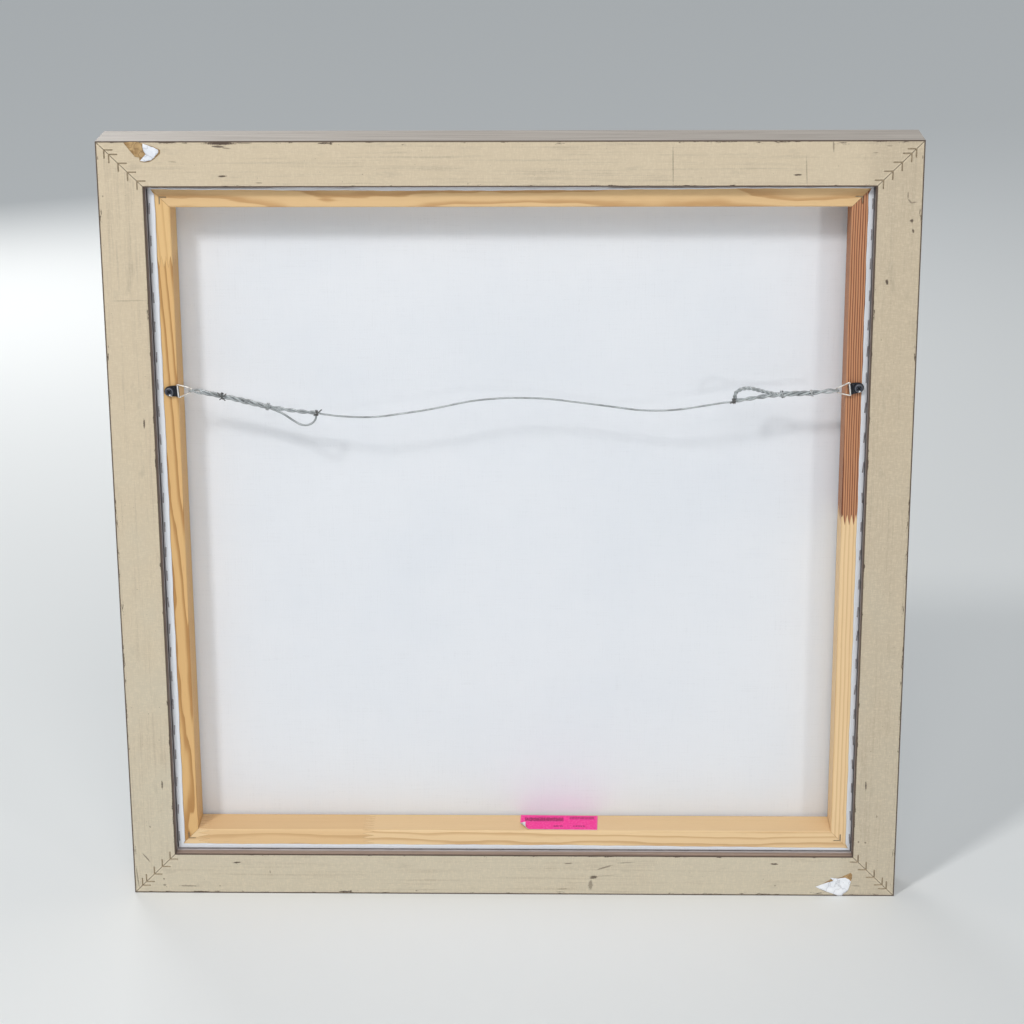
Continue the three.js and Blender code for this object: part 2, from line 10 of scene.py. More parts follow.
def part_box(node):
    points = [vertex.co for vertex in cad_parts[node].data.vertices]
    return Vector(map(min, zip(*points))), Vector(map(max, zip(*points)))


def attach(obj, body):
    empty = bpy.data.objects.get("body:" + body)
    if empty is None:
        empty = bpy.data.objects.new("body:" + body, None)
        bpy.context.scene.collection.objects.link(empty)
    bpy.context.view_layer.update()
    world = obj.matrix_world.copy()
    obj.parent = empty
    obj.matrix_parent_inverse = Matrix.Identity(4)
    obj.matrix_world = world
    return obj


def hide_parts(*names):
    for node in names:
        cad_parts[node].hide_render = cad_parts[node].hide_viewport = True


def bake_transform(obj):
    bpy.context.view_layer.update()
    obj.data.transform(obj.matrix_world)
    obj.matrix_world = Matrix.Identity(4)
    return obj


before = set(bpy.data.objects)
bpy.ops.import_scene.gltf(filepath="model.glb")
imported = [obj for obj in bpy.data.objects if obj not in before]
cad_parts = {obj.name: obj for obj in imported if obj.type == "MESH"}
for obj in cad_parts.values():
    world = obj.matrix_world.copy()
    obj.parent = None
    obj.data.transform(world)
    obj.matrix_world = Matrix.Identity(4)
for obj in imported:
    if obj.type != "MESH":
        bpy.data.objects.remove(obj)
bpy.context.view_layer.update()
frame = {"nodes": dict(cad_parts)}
scene = bpy.context.scene
nodes = frame["nodes"]
MM = 0.001
SIDES = ("bottom", "right", "top", "left")
CORNERS = ("bottom_left", "bottom_right", "top_right", "top_left")

# -------- camera

LENS = 94.785
SENSOR_WIDTH = 36
CAMERA_AT = (0.05457, -2.25315, 1.09702)
CAMERA_TURN = (0.3167, 0.0016, -0.0229)
world_to_view = Euler(CAMERA_TURN, "XYZ").to_matrix()
view_right, view_forward, view_up = world_to_view
camera_data = bpy.data.cameras.new("camera")
camera_data.lens = LENS
camera_data.sensor_width = SENSOR_WIDTH
camera = bpy.data.objects.new("camera", camera_data)
turned = Matrix((view_right, view_up, -view_forward)).transposed().to_4x4()
camera.matrix_world = Matrix.Translation(CAMERA_AT) @ turned
scene.collection.objects.link(camera)
scene.camera = camera

# -------- node formulas


def rgb(red, green, blue):
    """A colour given as screen values from 0 to 255."""
    def linear(value):
        return ((value / 255 + 0.055) / 1.055) ** 2.4 if value > 10 else value / 255 / 12.92
    return (linear(red), linear(green), linear(blue), 1)


class Value:
    """A node's output that takes + - * /, so that a pattern reads as a formula."""

    def __init__(self, nodes, socket):
        self.nodes = nodes
        self.socket = socket

    def __add__(self, other):
        return self.nodes.math("ADD", self, other)

    def __sub__(self, other):
        return self.nodes.math("SUBTRACT", self, other)

    def __mul__(self, other):
        return self.nodes.math("MULTIPLY", self, other)

    def __truediv__(self, other):
        return self.nodes.math("DIVIDE", self, other)

    __radd__ = __add__
    __rmul__ = __mul__

    def __rsub__(self, other):
        return self.nodes.math("SUBTRACT", other, self)

    def __abs__(self):
        return self.nodes.math("ABSOLUTE", self)

    def sin(self):
        return self.nodes.math("SINE", self)

    def least(self, other):
        return self.nodes.math("MINIMUM", self, other)

    def most(self, other):
        return self.nodes.math("MAXIMUM", self, other)

    def step(self, low, high):
        """0 before low and 1 after high, eased; the other way round where low is above high."""
        return self.nodes.node("MapRange", {0: self, 1: low, 2: high}, interpolation_type="SMOOTHSTEP")


class Nodes:
    """The node tree of one material."""

    def __init__(self, name, **surface):
        self.material = bpy.data.materials.new(name)
        self.material.use_nodes = True
        self.tree = self.material.node_tree
        self.shader = self.tree.nodes["Principled BSDF"]
        self.place = Value(self, self.tree.nodes.new("ShaderNodeTexCoord").outputs["Object"])
        for key, value in surface.items():
            self.shader.inputs[key.replace("_", " ")].default_value = value

    def node(self, kind, inputs, output=0, **settings):
        made = self.tree.nodes.new("ShaderNode" + kind)
        for key, value in settings.items():
            setattr(made, key, value)
        for key, value in inputs.items():
            self.feed(made.inputs[key], value)
        return Value(self, made.outputs[output])

    def feed(self, socket, value):
        if isinstance(value, Value):
            self.tree.links.new(value.socket, socket)
        else:
            socket.default_value = value

    def math(self, operation, *values):
        return self.node("Math", dict(enumerate(values)), operation=operation)

    def mix(self, factor, first, second):
        return self.node("Mix", {0: factor, 6: first, 7: second}, output=2, data_type="RGBA")

    def root(self, value):
        return self.math("SQRT", value)

    def split(self):
        """The place along X, Y and Z, in metres."""
        separate = self.tree.nodes.new("ShaderNodeSeparateXYZ")
        self.tree.links.new(self.place.socket, separate.inputs[0])
        return [Value(self, output) for output in separate.outputs]

    def vector(self, x, y, z):
        return self.node("CombineXYZ", {0: x, 1: y, 2: z})

    def noise(self, scale, detail=2, roughness=0.5, at=None):
        """Noise from 0 to 1 with about scale lumps to the metre."""
        inputs = {0: at or self.place, "Scale": scale, "Detail": detail, "Roughness": roughness}
        return self.node("TexNoise", inputs)

    def streaks(self, x, y, z, detail, roughness=0.5):
        """Noise over coordinates that are already scaled, so that its lumps can be long one way."""
        return self.noise(1, detail, roughness, at=self.vector(x, y, z))

    def attribute(self, name):
        return self.node("Attribute", {}, output=2, attribute_name=name)

    def end(self, colour, roughness, height=None, depth=None):
        """Feeds the shader and returns the material. Its relief is height, in depth metres."""
        self.feed(self.shader.inputs["Base Color"], colour)
        self.feed(self.shader.inputs["Roughness"], roughness)
        if height is not None:
            inputs = {"Height": height, "Distance": depth, "Strength": 1.0}
            self.feed(self.shader.inputs["Normal"], self.node("Bump", inputs))
        return self.material


def metal(name, metallic, tones, clouds, roughness, grain):
    """Metal in two clouded tones, with a fine grain."""
    n = Nodes(name, Metallic=metallic)
    colour = n.mix(n.noise(clouds, 3).step(0.3, 0.7), rgb(*tones[0]), rgb(*tones[1]))
    return n.end(colour, roughness, n.noise(grain, 2), 0.1 * MM)


# -------- mesh making


def make(name, points, faces, *materials, body="root"):
    """A smooth-shaded mesh that moves with a body, or with none yet."""
    mesh = bpy.data.meshes.new(name)
    mesh.from_pydata([tuple(map(float, p)) for p in points], [], faces)
    for material in materials:
        mesh.materials.append(material)
    mesh.polygons.foreach_set("use_smooth", [True] * len(mesh.polygons))
    made = bpy.data.objects.new(name, mesh)
    scene.collection.objects.link(made)
    if body:
        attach(made, body)
    return made


def even(line, step):
    """The same line in equal steps."""
    length = np.r_[0, np.cumsum(np.linalg.norm(np.diff(line, axis=0), axis=1))]
    at = np.linspace(0, length[-1], max(2, round(length[-1] / step) + 1))
    return np.column_stack([np.interp(at, length, line[:, k]) for k in range(3)])


def curve(points, step):
    """A smooth line through the points, in equal steps."""
    p = np.array(points, float)
    p = np.vstack([2 * p[0] - p[1], p, 2 * p[-1] - p[-2]])
    t = np.linspace(0, 1, 24, endpoint=False)[:, None]
    parts = []
    for a, b, c, d in zip(p, p[1:], p[2:], p[3:]):
        second = 2 * a - 5 * b + 4 * c - d
        third = 3 * b - a - 3 * c + d
        parts.append(b + (c - a) / 2 * t + second / 2 * t**2 + third / 2 * t**3)
    return even(np.vstack(parts + [p[-2:-1]]), step)


def rings(line, radius):
    """Rings round a wire's line. They turn with its lay, and their crests are its twisted wires."""
    tangent = np.gradient(line, axis=0)
    tangent /= np.linalg.norm(tangent, axis=1)[:, None]
    normal = np.zeros_like(line)
    carried = np.cross(tangent[0], (0.3, 0.2, 1.0))
    for i, along in enumerate(tangent):
        carried = carried - along * (carried @ along)
        carried /= np.linalg.norm(carried)
        normal[i] = carried
    side = np.cross(tangent, normal)
    length = np.r_[0, np.cumsum(np.linalg.norm(np.diff(line, axis=0), axis=1))]
    turn = 2 * math.pi * length / WIRE_LAY
    angle = turn[:, None] + np.arange(2 * WIRES) * math.pi / WIRES
    reach = np.broadcast_to(radius, len(line))[:, None, None]
    reach = reach * np.where(np.arange(2 * WIRES) % 2, 1 - GROOVE, 1)[None, :, None]
    out = np.cos(angle)[..., None] * normal[:, None] + np.sin(angle)[..., None] * side[:, None]
    return line[:, None] + reach * out


def tube(name, loops, material, body):
    """A closed tube through rings of points; its odd points are marked as grooves."""
    count, sides = loops.shape[:2]
    faces = []
    for i in range(count - 1):
        for j in range(sides):
            k = (j + 1) % sides
            faces.append((i * sides + j, i * sides + k, (i + 1) * sides + k, (i + 1) * sides + j))
    faces.append(tuple(range(sides))[::-1])
    faces.append(tuple(range((count - 1) * sides, count * sides)))
    made = make(name, loops.reshape(-1, 3), faces, material, body=body)
    groove = made.data.attributes.new("groove", "FLOAT", "POINT")
    groove.data.foreach_set("value", np.tile(np.arange(sides) % 2, count).astype(np.float32))
    return made


# -------- the hanging wire

WIRE_RADIUS = 0.85 * MM
BUNDLED = 1.05 * MM  # its radius where it is bundled, with its strands looser
LOOPED = 0.98 * MM  # its radius beside the loop
WIRE_STEP = 0.5 * MM
WIRE_LAY = 7 * MM  # the length in which its twisted wires go round once
WIRES = 7  # that show round its outside
GROOVE = 0.2  # the depth of the grooves between them, as a share of its radius
EYE_BEND = 1.8 * MM
LOOP_TWIST = 8 * MM  # the length in which the doubled loop's two strands go round once
LOOP_SPREAD = 0.88 * MM  # how far they lie from their middle line
LOOP_EASE = 6 * MM  # how long they take to part
THINNED = 5  # one point in so many is kept where a tail's line is drawn again
# The line that the wire and its tails are twisted round, from the left ring to the right one.
CORE = np.array([
    (-273, -17.35, 474), (-262, -17.4, 471.8), (-248.5, -17.5, 469.1), (-229.5, -17.5, 464.6),
    (-209.5, -17.5, 459.65), (-196, -17.5, 457.4), (-182, -17.5, 455.4), (-167.5, -17.5, 454),
    (-153.5, -17.5, 451.8), (-139, -17.5, 450.6), (-126, -17.5, 450.2), (-113, -17.6, 450.9),
    (-99, -17.7, 452.8), (-70.5, -17.8, 457.3), (-36, -18, 464.5), (-14, -18, 467), (4.5, -18, 467.8),
    (30.5, -18, 467), (56.5, -18, 464), (85, -18, 460.3), (109, -18.1, 457.2), (128.5, -18.2, 456.5),
    (146, -18.3, 457.7), (160.5, -18.4, 459.9), (176, -18.4, 462.5), (192, -18.4, 465.2),
    (207.5, -18.4, 467.7), (218, -18.4, 469.4), (233.5, -18.4, 471.3), (246, -18.5, 471.9),
    (258.5, -18.5, 472.5), (268, -18.45, 473.6), (277.3, -18.35, 474.5),
]) * MM
# The loops that the tails make past the second binding, and where each one hooks into the third.
LEFT_LOOP = np.array([
    (-201, -17.5, 455.4), (-195.5, -17.5, 452.5), (-187.5, -17.5, 446.9), (-182, -17.5, 443.8),
    (-177, -17.5, 443), (-172, -17.5, 444.7), (-169, -17.5, 448), (-168.2, -17.5, 451.5),
]) * MM
RIGHT_LOOP = np.array([
    (222, -18.4, 472.5), (213, -18.4, 474.8), (205, -18.4, 476.6), (198, -18.4, 475.7),
    (193.5, -18.4, 472.5), (192.8, -18.4, 468.6),
]) * MM
BIND = {"left": (-248.5 * MM, -209.5 * MM, -167.5 * MM), "right": (258.5 * MM, 233.5 * MM, 192 * MM)}
SPLIT = {"left": -242.5 * MM, "right": 246.5 * MM}  # where the first stretch, from the ring, ends
FREE = {"left": -163 * MM, "right": 186 * MM}  # past here the wire stays with the picture
TIP = {"left": -273 * MM, "right": 277.3 * MM}


def wire_material(name, bright, dark):
    n = Nodes(name, Metallic=0.45)
    stain = n.noise(140, 3).step(0.35, 0.75)
    lit = n.mix(stain, rgb(*bright), rgb(*[v * 0.8 for v in bright]))
    # Painted shade: the grooves between the twisted wires are given the darker colour.
    colour = n.mix(n.attribute("groove").step(0.45, 1), lit, rgb(*dark))
    return n.end(colour, 0.42 + 0.2 * stain, n.noise(2500, 1), 0.1 * MM)


wire_grey = wire_material("wire_steel", (214, 219, 220), (92, 96, 98))
wire_dark = wire_material("wire_dark", (132, 132, 130), (56, 56, 56))
wire_bright = wire_material("wire_bright", (244, 245, 245), (150, 152, 152))

core = curve(CORE, WIRE_STEP)
tangent = np.gradient(core, axis=0)
tangent /= np.linalg.norm(tangent, axis=1)[:, None]
outward = np.array((0.0, -1.0, 0.0)) - tangent * (tangent @ (0.0, -1.0, 0.0))[:, None]
outward /= np.linalg.norm(outward, axis=1)[:, None]
sideways = np.cross(tangent, outward)


def thickness(line):
    """The wire's radius along a line."""
    places, radii = [], []
    for side, sign in (("left", 1), ("right", -1)):
        _, b2, b3 = BIND[side]
        steps = [TIP[side], TIP[side] + sign * 8 * MM, b2, b2 + sign * 6 * MM, b3, b3 + sign * 9 * MM]
        places += steps[::sign]
        radii += [WIRE_RADIUS, BUNDLED, BUNDLED, LOOPED, LOOPED, WIRE_RADIUS][::sign]
    return np.interp(line[:, 0], places, radii)


def twist(side):
    """How far one end's strands lie from the core, and the turns of its run, its tail and the tail's return."""
    sign = 1 if side == "left" else -1
    b1, b2, b3 = [sign * b for b in BIND[side]]
    tip = sign * TIP[side]
    x = sign * core[:, 0]
    spread = [tip, tip + 7 * MM, b1 - 6 * MM, b1, (b1 + b2) / 2, b2, (b2 + b3) / 2, b3, b3 + 9 * MM]
    near, far = (1.35, 1.65) if side == "left" else (1.0, 1.4)
    reach = np.interp(x, spread, np.array([1.8, near, near, 1.2, far, 1.25, 0.98, 0.9, 0]) * MM)
    pitch = np.interp(x, [b2 - MM, b2 + MM], np.array([24, 20]) * MM)
    step = np.r_[0, 2 * math.pi * np.linalg.norm(np.diff(core, axis=0), axis=1) / pitch[1:]]
    turn = np.cumsum(step)
    if sign < 0:
        turn = turn[-1] - turn
    third = 2 * math.pi / 3
    joins = tip + 5 * MM if side == "left" else b1 - 5 * MM  # from here on there are three strands
    out = turn + np.interp(x, [joins, joins + 6 * MM], [math.pi, third])
    back = turn + np.interp(x, [b2, b2 + 8 * MM], [2 * third, math.pi])
    return reach, turn, out, back


def beside(reach, turn):
    return core + reach[:, None] * (np.cos(turn)[:, None] * outward + np.sin(turn)[:, None] * sideways)


left = twist("left")
right = twist("right")
middle = core[:, 0] < 0
main = np.where(middle[:, None], beside(*left[:2]), beside(*right[:2]))
main_rings = rings(main, thickness(main))
joins = (SPLIT["left"], FREE["left"], FREE["right"], SPLIT["right"])
cuts = [0, *(int(np.searchsorted(core[:, 0], x)) for x in joins), len(core) - 1]


def bend_with(piece, side, part):
    """Bakes the piece's place into its mesh; the stretch it spans and the bodies it would go with are worked out
    but not used.
    """
    start, end = (TIP[side], SPLIT[side]) if part == 1 else (SPLIT[side], FREE[side])
    bodies = (f"{side}_ring", f"{side}_hanger") if part == 1 else (f"{side}_hanger", "root")
    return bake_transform(piece)


wire_parts = {}
for name, first, last in zip(("left_1", "left_2", "middle", "right_2", "right_1"), cuts, cuts[1:]):
    piece = tube(f"wire_{name}", main_rings[first:last + 1], wire_grey, body=None)
    wire_parts[name] = (piece, main[first:last + 1])


def spun(name, line, side, part, material=wire_grey, radius=None):
    """A piece of twisted wire along a line, as thick as the wire is there or of its own radius."""
    loops = rings(line, thickness(line) if radius is None else radius)
    return bend_with(tube(name, loops, material, body=None), side, part)


def coil(centre, along, radius, turns, pitch, lean):
    """The line of a wire wound round the bundle."""
    along = Vector(along).normalized()
    out = Vector((0, -1, 0))
    up = along.cross(out)
    line = []
    for v in np.linspace(-turns / 2, turns / 2, int(turns * 20) + 1):
        angle = 2 * math.pi * v
        forward = along * (pitch * v + lean * math.sin(angle))
        line.append(Vector(centre) + (forward + (out * math.cos(angle) + up * math.sin(angle)) * radius))
    return np.array(line)


def at_x(line, x):
    return line[int(np.argmin(abs(line[:, 0] - x)))]


with_wire = {name: [] for name in wire_parts}
for side, loop, sides_of in (("left", LEFT_LOOP, left), ("right", RIGHT_LOOP, right)):
    sign = 1 if side == "left" else -1
    reach, turn, out_turn, back_turn = sides_of
    order = slice(None) if side == "left" else slice(None, None, -1)
    x = sign * core[order, 0]
    b1, b2, b3 = [sign * b for b in BIND[side]]
    out_line = beside(reach, out_turn)[order]
    back_line = beside(reach, back_turn)[order]
    cut = sign * SPLIT[side]
    out_1 = out_line[x <= cut]
    out_2 = out_line[(x >= cut - WIRE_STEP) & (x <= b2 + 1.5 * MM)]
    back_2 = back_line[(x >= cut) & (x <= b3 - 2.5 * MM)][::-1]
    end_at = sign * TIP[side] + 4.5 * MM if side == "left" else b1 - 2.2 * MM
    back_1 = back_line[(x >= end_at) & (x <= cut + WIRE_STEP)][::-1]
    if side == "right":
        # This loop is doubled: two strands twisted together.
        middle_line = curve(np.vstack([out_2[-12:-3:4], loop, back_2[:9:4]]), WIRE_STEP)
        run = np.gradient(middle_line, axis=0)
        up = np.cross(run / np.linalg.norm(run, axis=1)[:, None], (0, -1, 0))
        t = np.arange(len(middle_line)) * WIRE_STEP
        spin = 2 * math.pi * t / LOOP_TWIST
        ease = np.minimum(1, np.minimum(t, t[-1] - t) / LOOP_EASE) * LOOP_SPREAD
        swing = ease[:, None] * (np.sin(spin)[:, None] * up + np.cos(spin)[:, None] * np.array((0, -1, 0)))
        with_wire["right_2"].append(spun("wire_right_loop", middle_line[4:-4] - swing[4:-4], side, 2))
        loop = (middle_line + swing)[8:-8:4]
    tail_2 = curve(np.vstack([out_2[:-3:THINNED], loop, back_2[::THINNED], back_2[-1:]]), WIRE_STEP)
    with_wire[f"{side}_1"].append(spun(f"wire_{side}_tail_1", out_1, side, 1))
    with_wire[f"{side}_2"].append(spun(f"wire_{side}_tail_2", tail_2, side, 2))
    with_wire[f"{side}_1"].append(spun(f"wire_{side}_tail_end", back_1, side, 1))
    # The eye round the ring's tip.
    start, end = beside(reach, turn)[order][0], out_1[0]
    middle_of = (start + end) / 2 - np.array((sign * 2.3 * MM, 0, 0))
    half_turn = np.linspace(-math.pi / 2, math.pi / 2, 9)
    bow = [middle_of + EYE_BEND * np.array((-sign * math.cos(a), math.sin(a), 0)) for a in half_turn]
    bent = rings(curve([start, *bow, end], WIRE_STEP), WIRE_RADIUS)
    with_wire[f"{side}_1"].append(tube(f"wire_{side}_eye", bent, wire_grey, body=f"{side}_ring"))

# The wires that bind each bundle, with the ends that stand off them:
# (side, binding, material, radius of the coil, radius of its wire, turns, lean, ends), in mm.
BINDINGS = [
    ("left", 1, wire_dark, 2.6, 0.5, 1.6, 1.2, [
        ((-4, -2.6, 3.8), (-1.5, -3.1, 1), (2.6, -3.1, -3.4)),
        ((3.6, -2.8, 2.8), (0.5, -3.5, 0), (-2.4, -3, -2.6)),
    ]),
    ("left", 2, wire_grey, 2.75, 0.7, 2.0, 0.3, []),
    ("left", 3, wire_dark, 2.1, 0.55, 1.8, 0.8, [((-2.4, -2.5, -1.6), (0.4, -2.9, 0.2), (4.6, -2.2, 3.6))]),
    ("right", 1, wire_bright, 2.5, 0.55, 1.9, 0.5, [((-1.6, -2.6, 2.8), (0, -2.9, 0.2), (1.2, -2.5, -2.4))]),
    ("right", 2, wire_grey, 2.8, 0.7, 1.6, 0.9, []),
    ("right", 3, wire_dark, 2.0, 0.6, 2.1, 0.6, [((-3.2, -2.1, -1.4), (-0.5, -2.6, 0), (1.6, -2.2, 2.6))]),
]
for side, number, material, radius, wire, turns, lean, ends in BINDINGS:
    x = BIND[side][number - 1]
    centre = at_x(core, x)
    along = at_x(core, x + 2 * MM) - at_x(core, x - 2 * MM)
    part = 1 if number == 1 else 2
    line = coil(centre, along, radius * MM, turns, 2.1 * wire * MM, lean * MM)
    found = [spun(f"wire_{side}_binding_{number}", line, side, part, material, wire * MM)]
    for i, end in enumerate(ends):
        line = curve(np.array(end) * MM + centre, WIRE_STEP)
        found.append(spun(f"wire_{side}_binding_{number}_end_{i + 1}", line, side, part, material, wire * MM))
    with_wire[f"{side}_{part}"] += found

for name, (piece, line) in wire_parts.items():
    if name == "middle":
        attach(piece, "root")
    else:
        side, part = name.split("_")
        bend_with(piece, side, int(part))
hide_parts("hanging_wire")
for side in ("left", "right"):
    bits = {p.name: p for p in with_wire[f"{side}_1"] + with_wire[f"{side}_2"]}
    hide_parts(f"wire_tail_{side}")
    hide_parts(f"wire_eye_{side}")
    for number in (1, 2, 3):
        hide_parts(f"wire_binding_{side}_{number}")

# -------- the frame's painted wood

FRAME_SIZE = 692 * MM
RAIL_FACE = 39 * MM
ARRIS = 1 * MM  # the dark line along the rails' inner edge
BACK = -25.5 * MM
LIP_BACK = 21.5 * MM
CREAM = rgb(207, 190, 163)
CREAM_LOW = rgb(200, 189, 167)
RUBBED = rgb(176, 161, 139)
UNDER_PAINT = rgb(72, 56, 48)
# Slits, scratches, cracks and stains in the paint of the frame's back:
# (x, z, half length, half width in mm, angle in degrees, darkness)
MARKS = [
    (-240.1, 662.3, 3.6, 0.69, 2, 0.9), (-281.7, 674.7, 3.4, 0.52, -4, 0.3),
    (-241.1, 690.4, 13.5, 1.5, 0, 0.95), (-242.8, 687.4, 5.2, 0.8, -4, 0.8),
    (-236.2, 686, 3.6, 0.56, -4, 0.5), (-220.9, 690.4, 7, 0.73, 0, 0.5),
    (-209.6, 656.7, 2.8, 0.56, 0, 0.4), (-341.6, 645.5, 0.9, 0.61, -85, 0.5),
    (240.7, 663, 3.3, 0.69, 2, 0.9), (248.2, 666.2, 12.1, 0.48, -87, 0.35),
    (269.9, 687.2, 4.6, 0.61, -87, 0.5), (136.9, 671.4, 16.3, 0.48, -89, 0.4),
    (304.7, 681.5, 2.4, 0.56, 6, 0.35), (333.2, 645.2, 3, 0.56, -90, 0.5),
    (334.7, 640.8, 2.6, 0.61, -48, 0.5), (338.1, 639.5, 2.2, 0.56, 13, 0.45),
    (316.5, 687.3, 2.8, 0.48, 0, 0.3), (337.3, 623.4, 1.6, 0.73, -88, 0.5),
    (-334, 34.9, 5.3, 0.61, -53, 0.6), (-343, 15.4, 10, 0.56, -85, 0.5),
    (-318.8, 13.8, 0.9, 0.73, -88, 0.6), (-318.6, 7.8, 1.4, 0.98, -2, 0.5),
    (-296.8, 6.9, 8.1, 0.77, -1, 0.45), (-267.9, 7, 0.8, 0.77, 0, 0.4),
    (-251.7, 30.6, 3.5, 0.69, 5, 0.9), (-221.5, 21.4, 1.6, 0.61, -82, 0.4),
    (-329.3, 65.8, 1, 0.61, -85, 0.5), (236.7, 31.4, 3.3, 0.69, -2, 0.9),
    (312.2, 53.7, 0.9, 0.77, -64, 0.6), (318.4, 53, 0.9, 0.73, -20, 0.6),
    (327.7, 79, 1.3, 0.61, -78, 0.4), (311.4, 10.1, 3.9, 0.52, -1, 0.35),
    (238, 9.8, 0.8, 0.73, 0, 0.5), (70.4, 9.6, 4.8, 1.81, -93, 0.5), (73.1, 17.5, 3.4, 1.5, 8, 0.8),
    (83.1, 27.2, 7, 0.65, 18, 0.55), (102.3, 32.1, 7.1, 0.52, 3, 0.4),
    (50.2, 31.1, 3.3, 0.61, 4, 0.6), (44.5, 5.5, 4.5, 0.56, 3, 0.4), (84, 19, 8, 0.44, 3, 0.25),
    (-316.3, 446.5, 4.1, 0.69, -91, 0.9), (-316.4, 107.1, 4.2, 0.65, -91, 0.8),
    (316.9, 109, 4.5, 0.65, -87, 0.8), (-324, 555.4, 14.8, 0.52, 1, 0.22),
    (-145, 653, 30.5, 0.65, 0, 0.5), (318.4, 571.5, 2.6, 1.1, -80, 0.9),
    (337, 624, 1.5, 1.2, 20, 0.85), (338.6, 615.4, 1.6, 0.8, -80, 0.8),
]


def marks_on(n, marks):
    """The darkness of the marks at each point. Each waits for the last, so few values are held at once."""
    ragged = (n.noise(700, 2) - 0.5) * 0.9
    total = ragged * 0
    for x, z, length, width, angle, dark in marks:
        at = n.node("VectorMath", {0: total, 1: (1e-9, 1e-9, 1e-9), 2: n.place}, operation="MULTIPLY_ADD")
        inputs = {
            0: at, "Location": (x * MM, 0, z * MM), "Rotation": (0, -math.radians(angle), 0),
            "Scale": (1.2 * length * MM, 1, 1.3 * width * MM),
        }
        near = n.node("Mapping", inputs, vector_type="TEXTURE")
        away = n.node("VectorMath", {0: near}, output=1, operation="LENGTH")
        total = total.most((away + ragged).step(1.1, 0.5) * dark)
    return total


def frame_paint():
    n = Nodes("frame_paint", Specular_IOR_Level=0.35)
    x, y, z = n.split()
    from_side = FRAME_SIZE / 2 - abs(x)
    from_top = FRAME_SIZE / 2 - abs(z - FRAME_SIZE / 2)
    inset = from_side.least(from_top)
    upright = (from_side - from_top).step(0.0001, -0.0001)
    along = z * upright + x * (1 - upright)
    fine = n.noise(900, 3, 0.6)
    lumps = n.noise(26, 4, 0.55)
    streaks = n.streaks(along * 9, inset * 520, y * 300, 3, 0.6)
    weave = n.streaks(x * 1500, y * 300, z * 240, 2) + n.streaks(x * 240, y * 300, z * 1500, 2)
    # The back: cream paint, greyer low down, rubbed and chipped.
    low = (z + (lumps - 0.5) * 0.5).step(0.5, 0.0)
    cream = n.mix(low, CREAM, CREAM_LOW)
    right_rail = x.step(0.29, 0.31) * 0.35
    cream = n.mix(right_rail, cream, RUBBED)
    rubbed = ((streaks - 0.5) * 2.2 + (lumps - 0.5)).step(0.0, 0.7) * 0.6
    cream = n.mix(rubbed, cream, RUBBED)
    cream = n.mix(((weave - 1.0) * 2.0 + 0.5).step(0.35, 1.0) * 0.30, cream, rgb(228, 213, 186))
    smudge = n.streaks(along * 22, inset * 60, 0, 4, 0.7).step(0.56, 0.78) * 0.42
    cream = n.mix(smudge, cream, rgb(160, 148, 128))
    speck = n.noise(420, 2, 0.5).step(0.735, 0.80) * 0.5
    chips = n.streaks(along * 70, inset * 420, y * 300, 4, 0.75)
    chipped = chips.step(0.56, 0.72)
    outer = (inset - chipped * 0.0026).step(0.0014, 0.0008)
    inner_edge = RAIL_FACE - ARRIS
    inner = (inset + chipped * 0.0014).step(inner_edge - 0.0003, inner_edge + 0.0003)
    off_mitre = abs(from_side - from_top)
    joint = (off_mitre + (fine - 0.5) * 0.0004).step(0.00075, 0.0003)
    pale = off_mitre.step(0.0030, 0.0012) * 0.35
    dark = marks_on(n, MARKS).most(speck).most(outer * 0.9).most(inner * 0.94).most(joint * 0.65)
    cream = n.mix(pale, cream, rgb(222, 206, 178))
    back_colour = n.mix(dark, cream, UNDER_PAINT)
    # The outside and the front: a brushed grey-brown finish.
    brushed = n.streaks(along * 7, inset * 400, y * 420, 4, 0.7)
    taupe = n.mix(brushed.step(0.3, 0.75), rgb(214, 203, 191), rgb(172, 160, 149))
    worn = n.streaks(along * 18, inset * 300, y * 240, 4, 0.7).step(0.64, 0.74) * 0.55
    taupe = n.mix(worn, taupe, rgb(112, 94, 84))
    near_back = y.step(BACK + 0.0022, BACK + 0.0006) * 0.7
    taupe = n.mix(near_back, taupe, rgb(82, 66, 58))
    # The rabbet: brown, with painted shade on its side walls, darker at its back edge, and with painted light
    # deep in it. The nails' slots: bare wood.
    rabbet = inset.step(RAIL_FACE - 0.0006, RAIL_FACE - 0.0001) * y.step(LIP_BACK, LIP_BACK - 0.0002)
    brown = n.mix(brushed.step(0.3, 0.7), rgb(176, 156, 142), rgb(142, 122, 110))
    # Painted shade: the side walls, which face the middle, are coloured darker than the bottom one.
    brown = n.mix(upright * 0.55, brown, rgb(84, 72, 64))
    brown = n.mix(y.step(BACK + 0.0024, BACK + 0.0010) * 0.6, brown, UNDER_PAINT)
    # Painted light: deep in the rabbet the walls are coloured paler, where they would lie in shade.
    brown = n.mix(y.step(BACK + 0.007, BACK + 0.010), brown, rgb(214, 206, 204))
    sides = n.mix(rabbet, taupe, brown)
    slots = inset.step(0.002, 0.003) * inset.step(RAIL_FACE - 0.002, RAIL_FACE - 0.003) * y.step(0, -0.001)
    sides = n.mix(slots, sides, rgb(236, 222, 196))
    on_back = (y + (chips - 0.5) * 0.0003).step(BACK + 0.00030, BACK + 0.00012)
    colour = n.mix(on_back, sides, back_colour)
    height = (weave - 1) * 0.25 + fine * 0.2 - dark * 0.8
    return n.end(colour, 0.62 + 0.2 * fine - 0.12 * (1 - on_back), height, 0.00018)


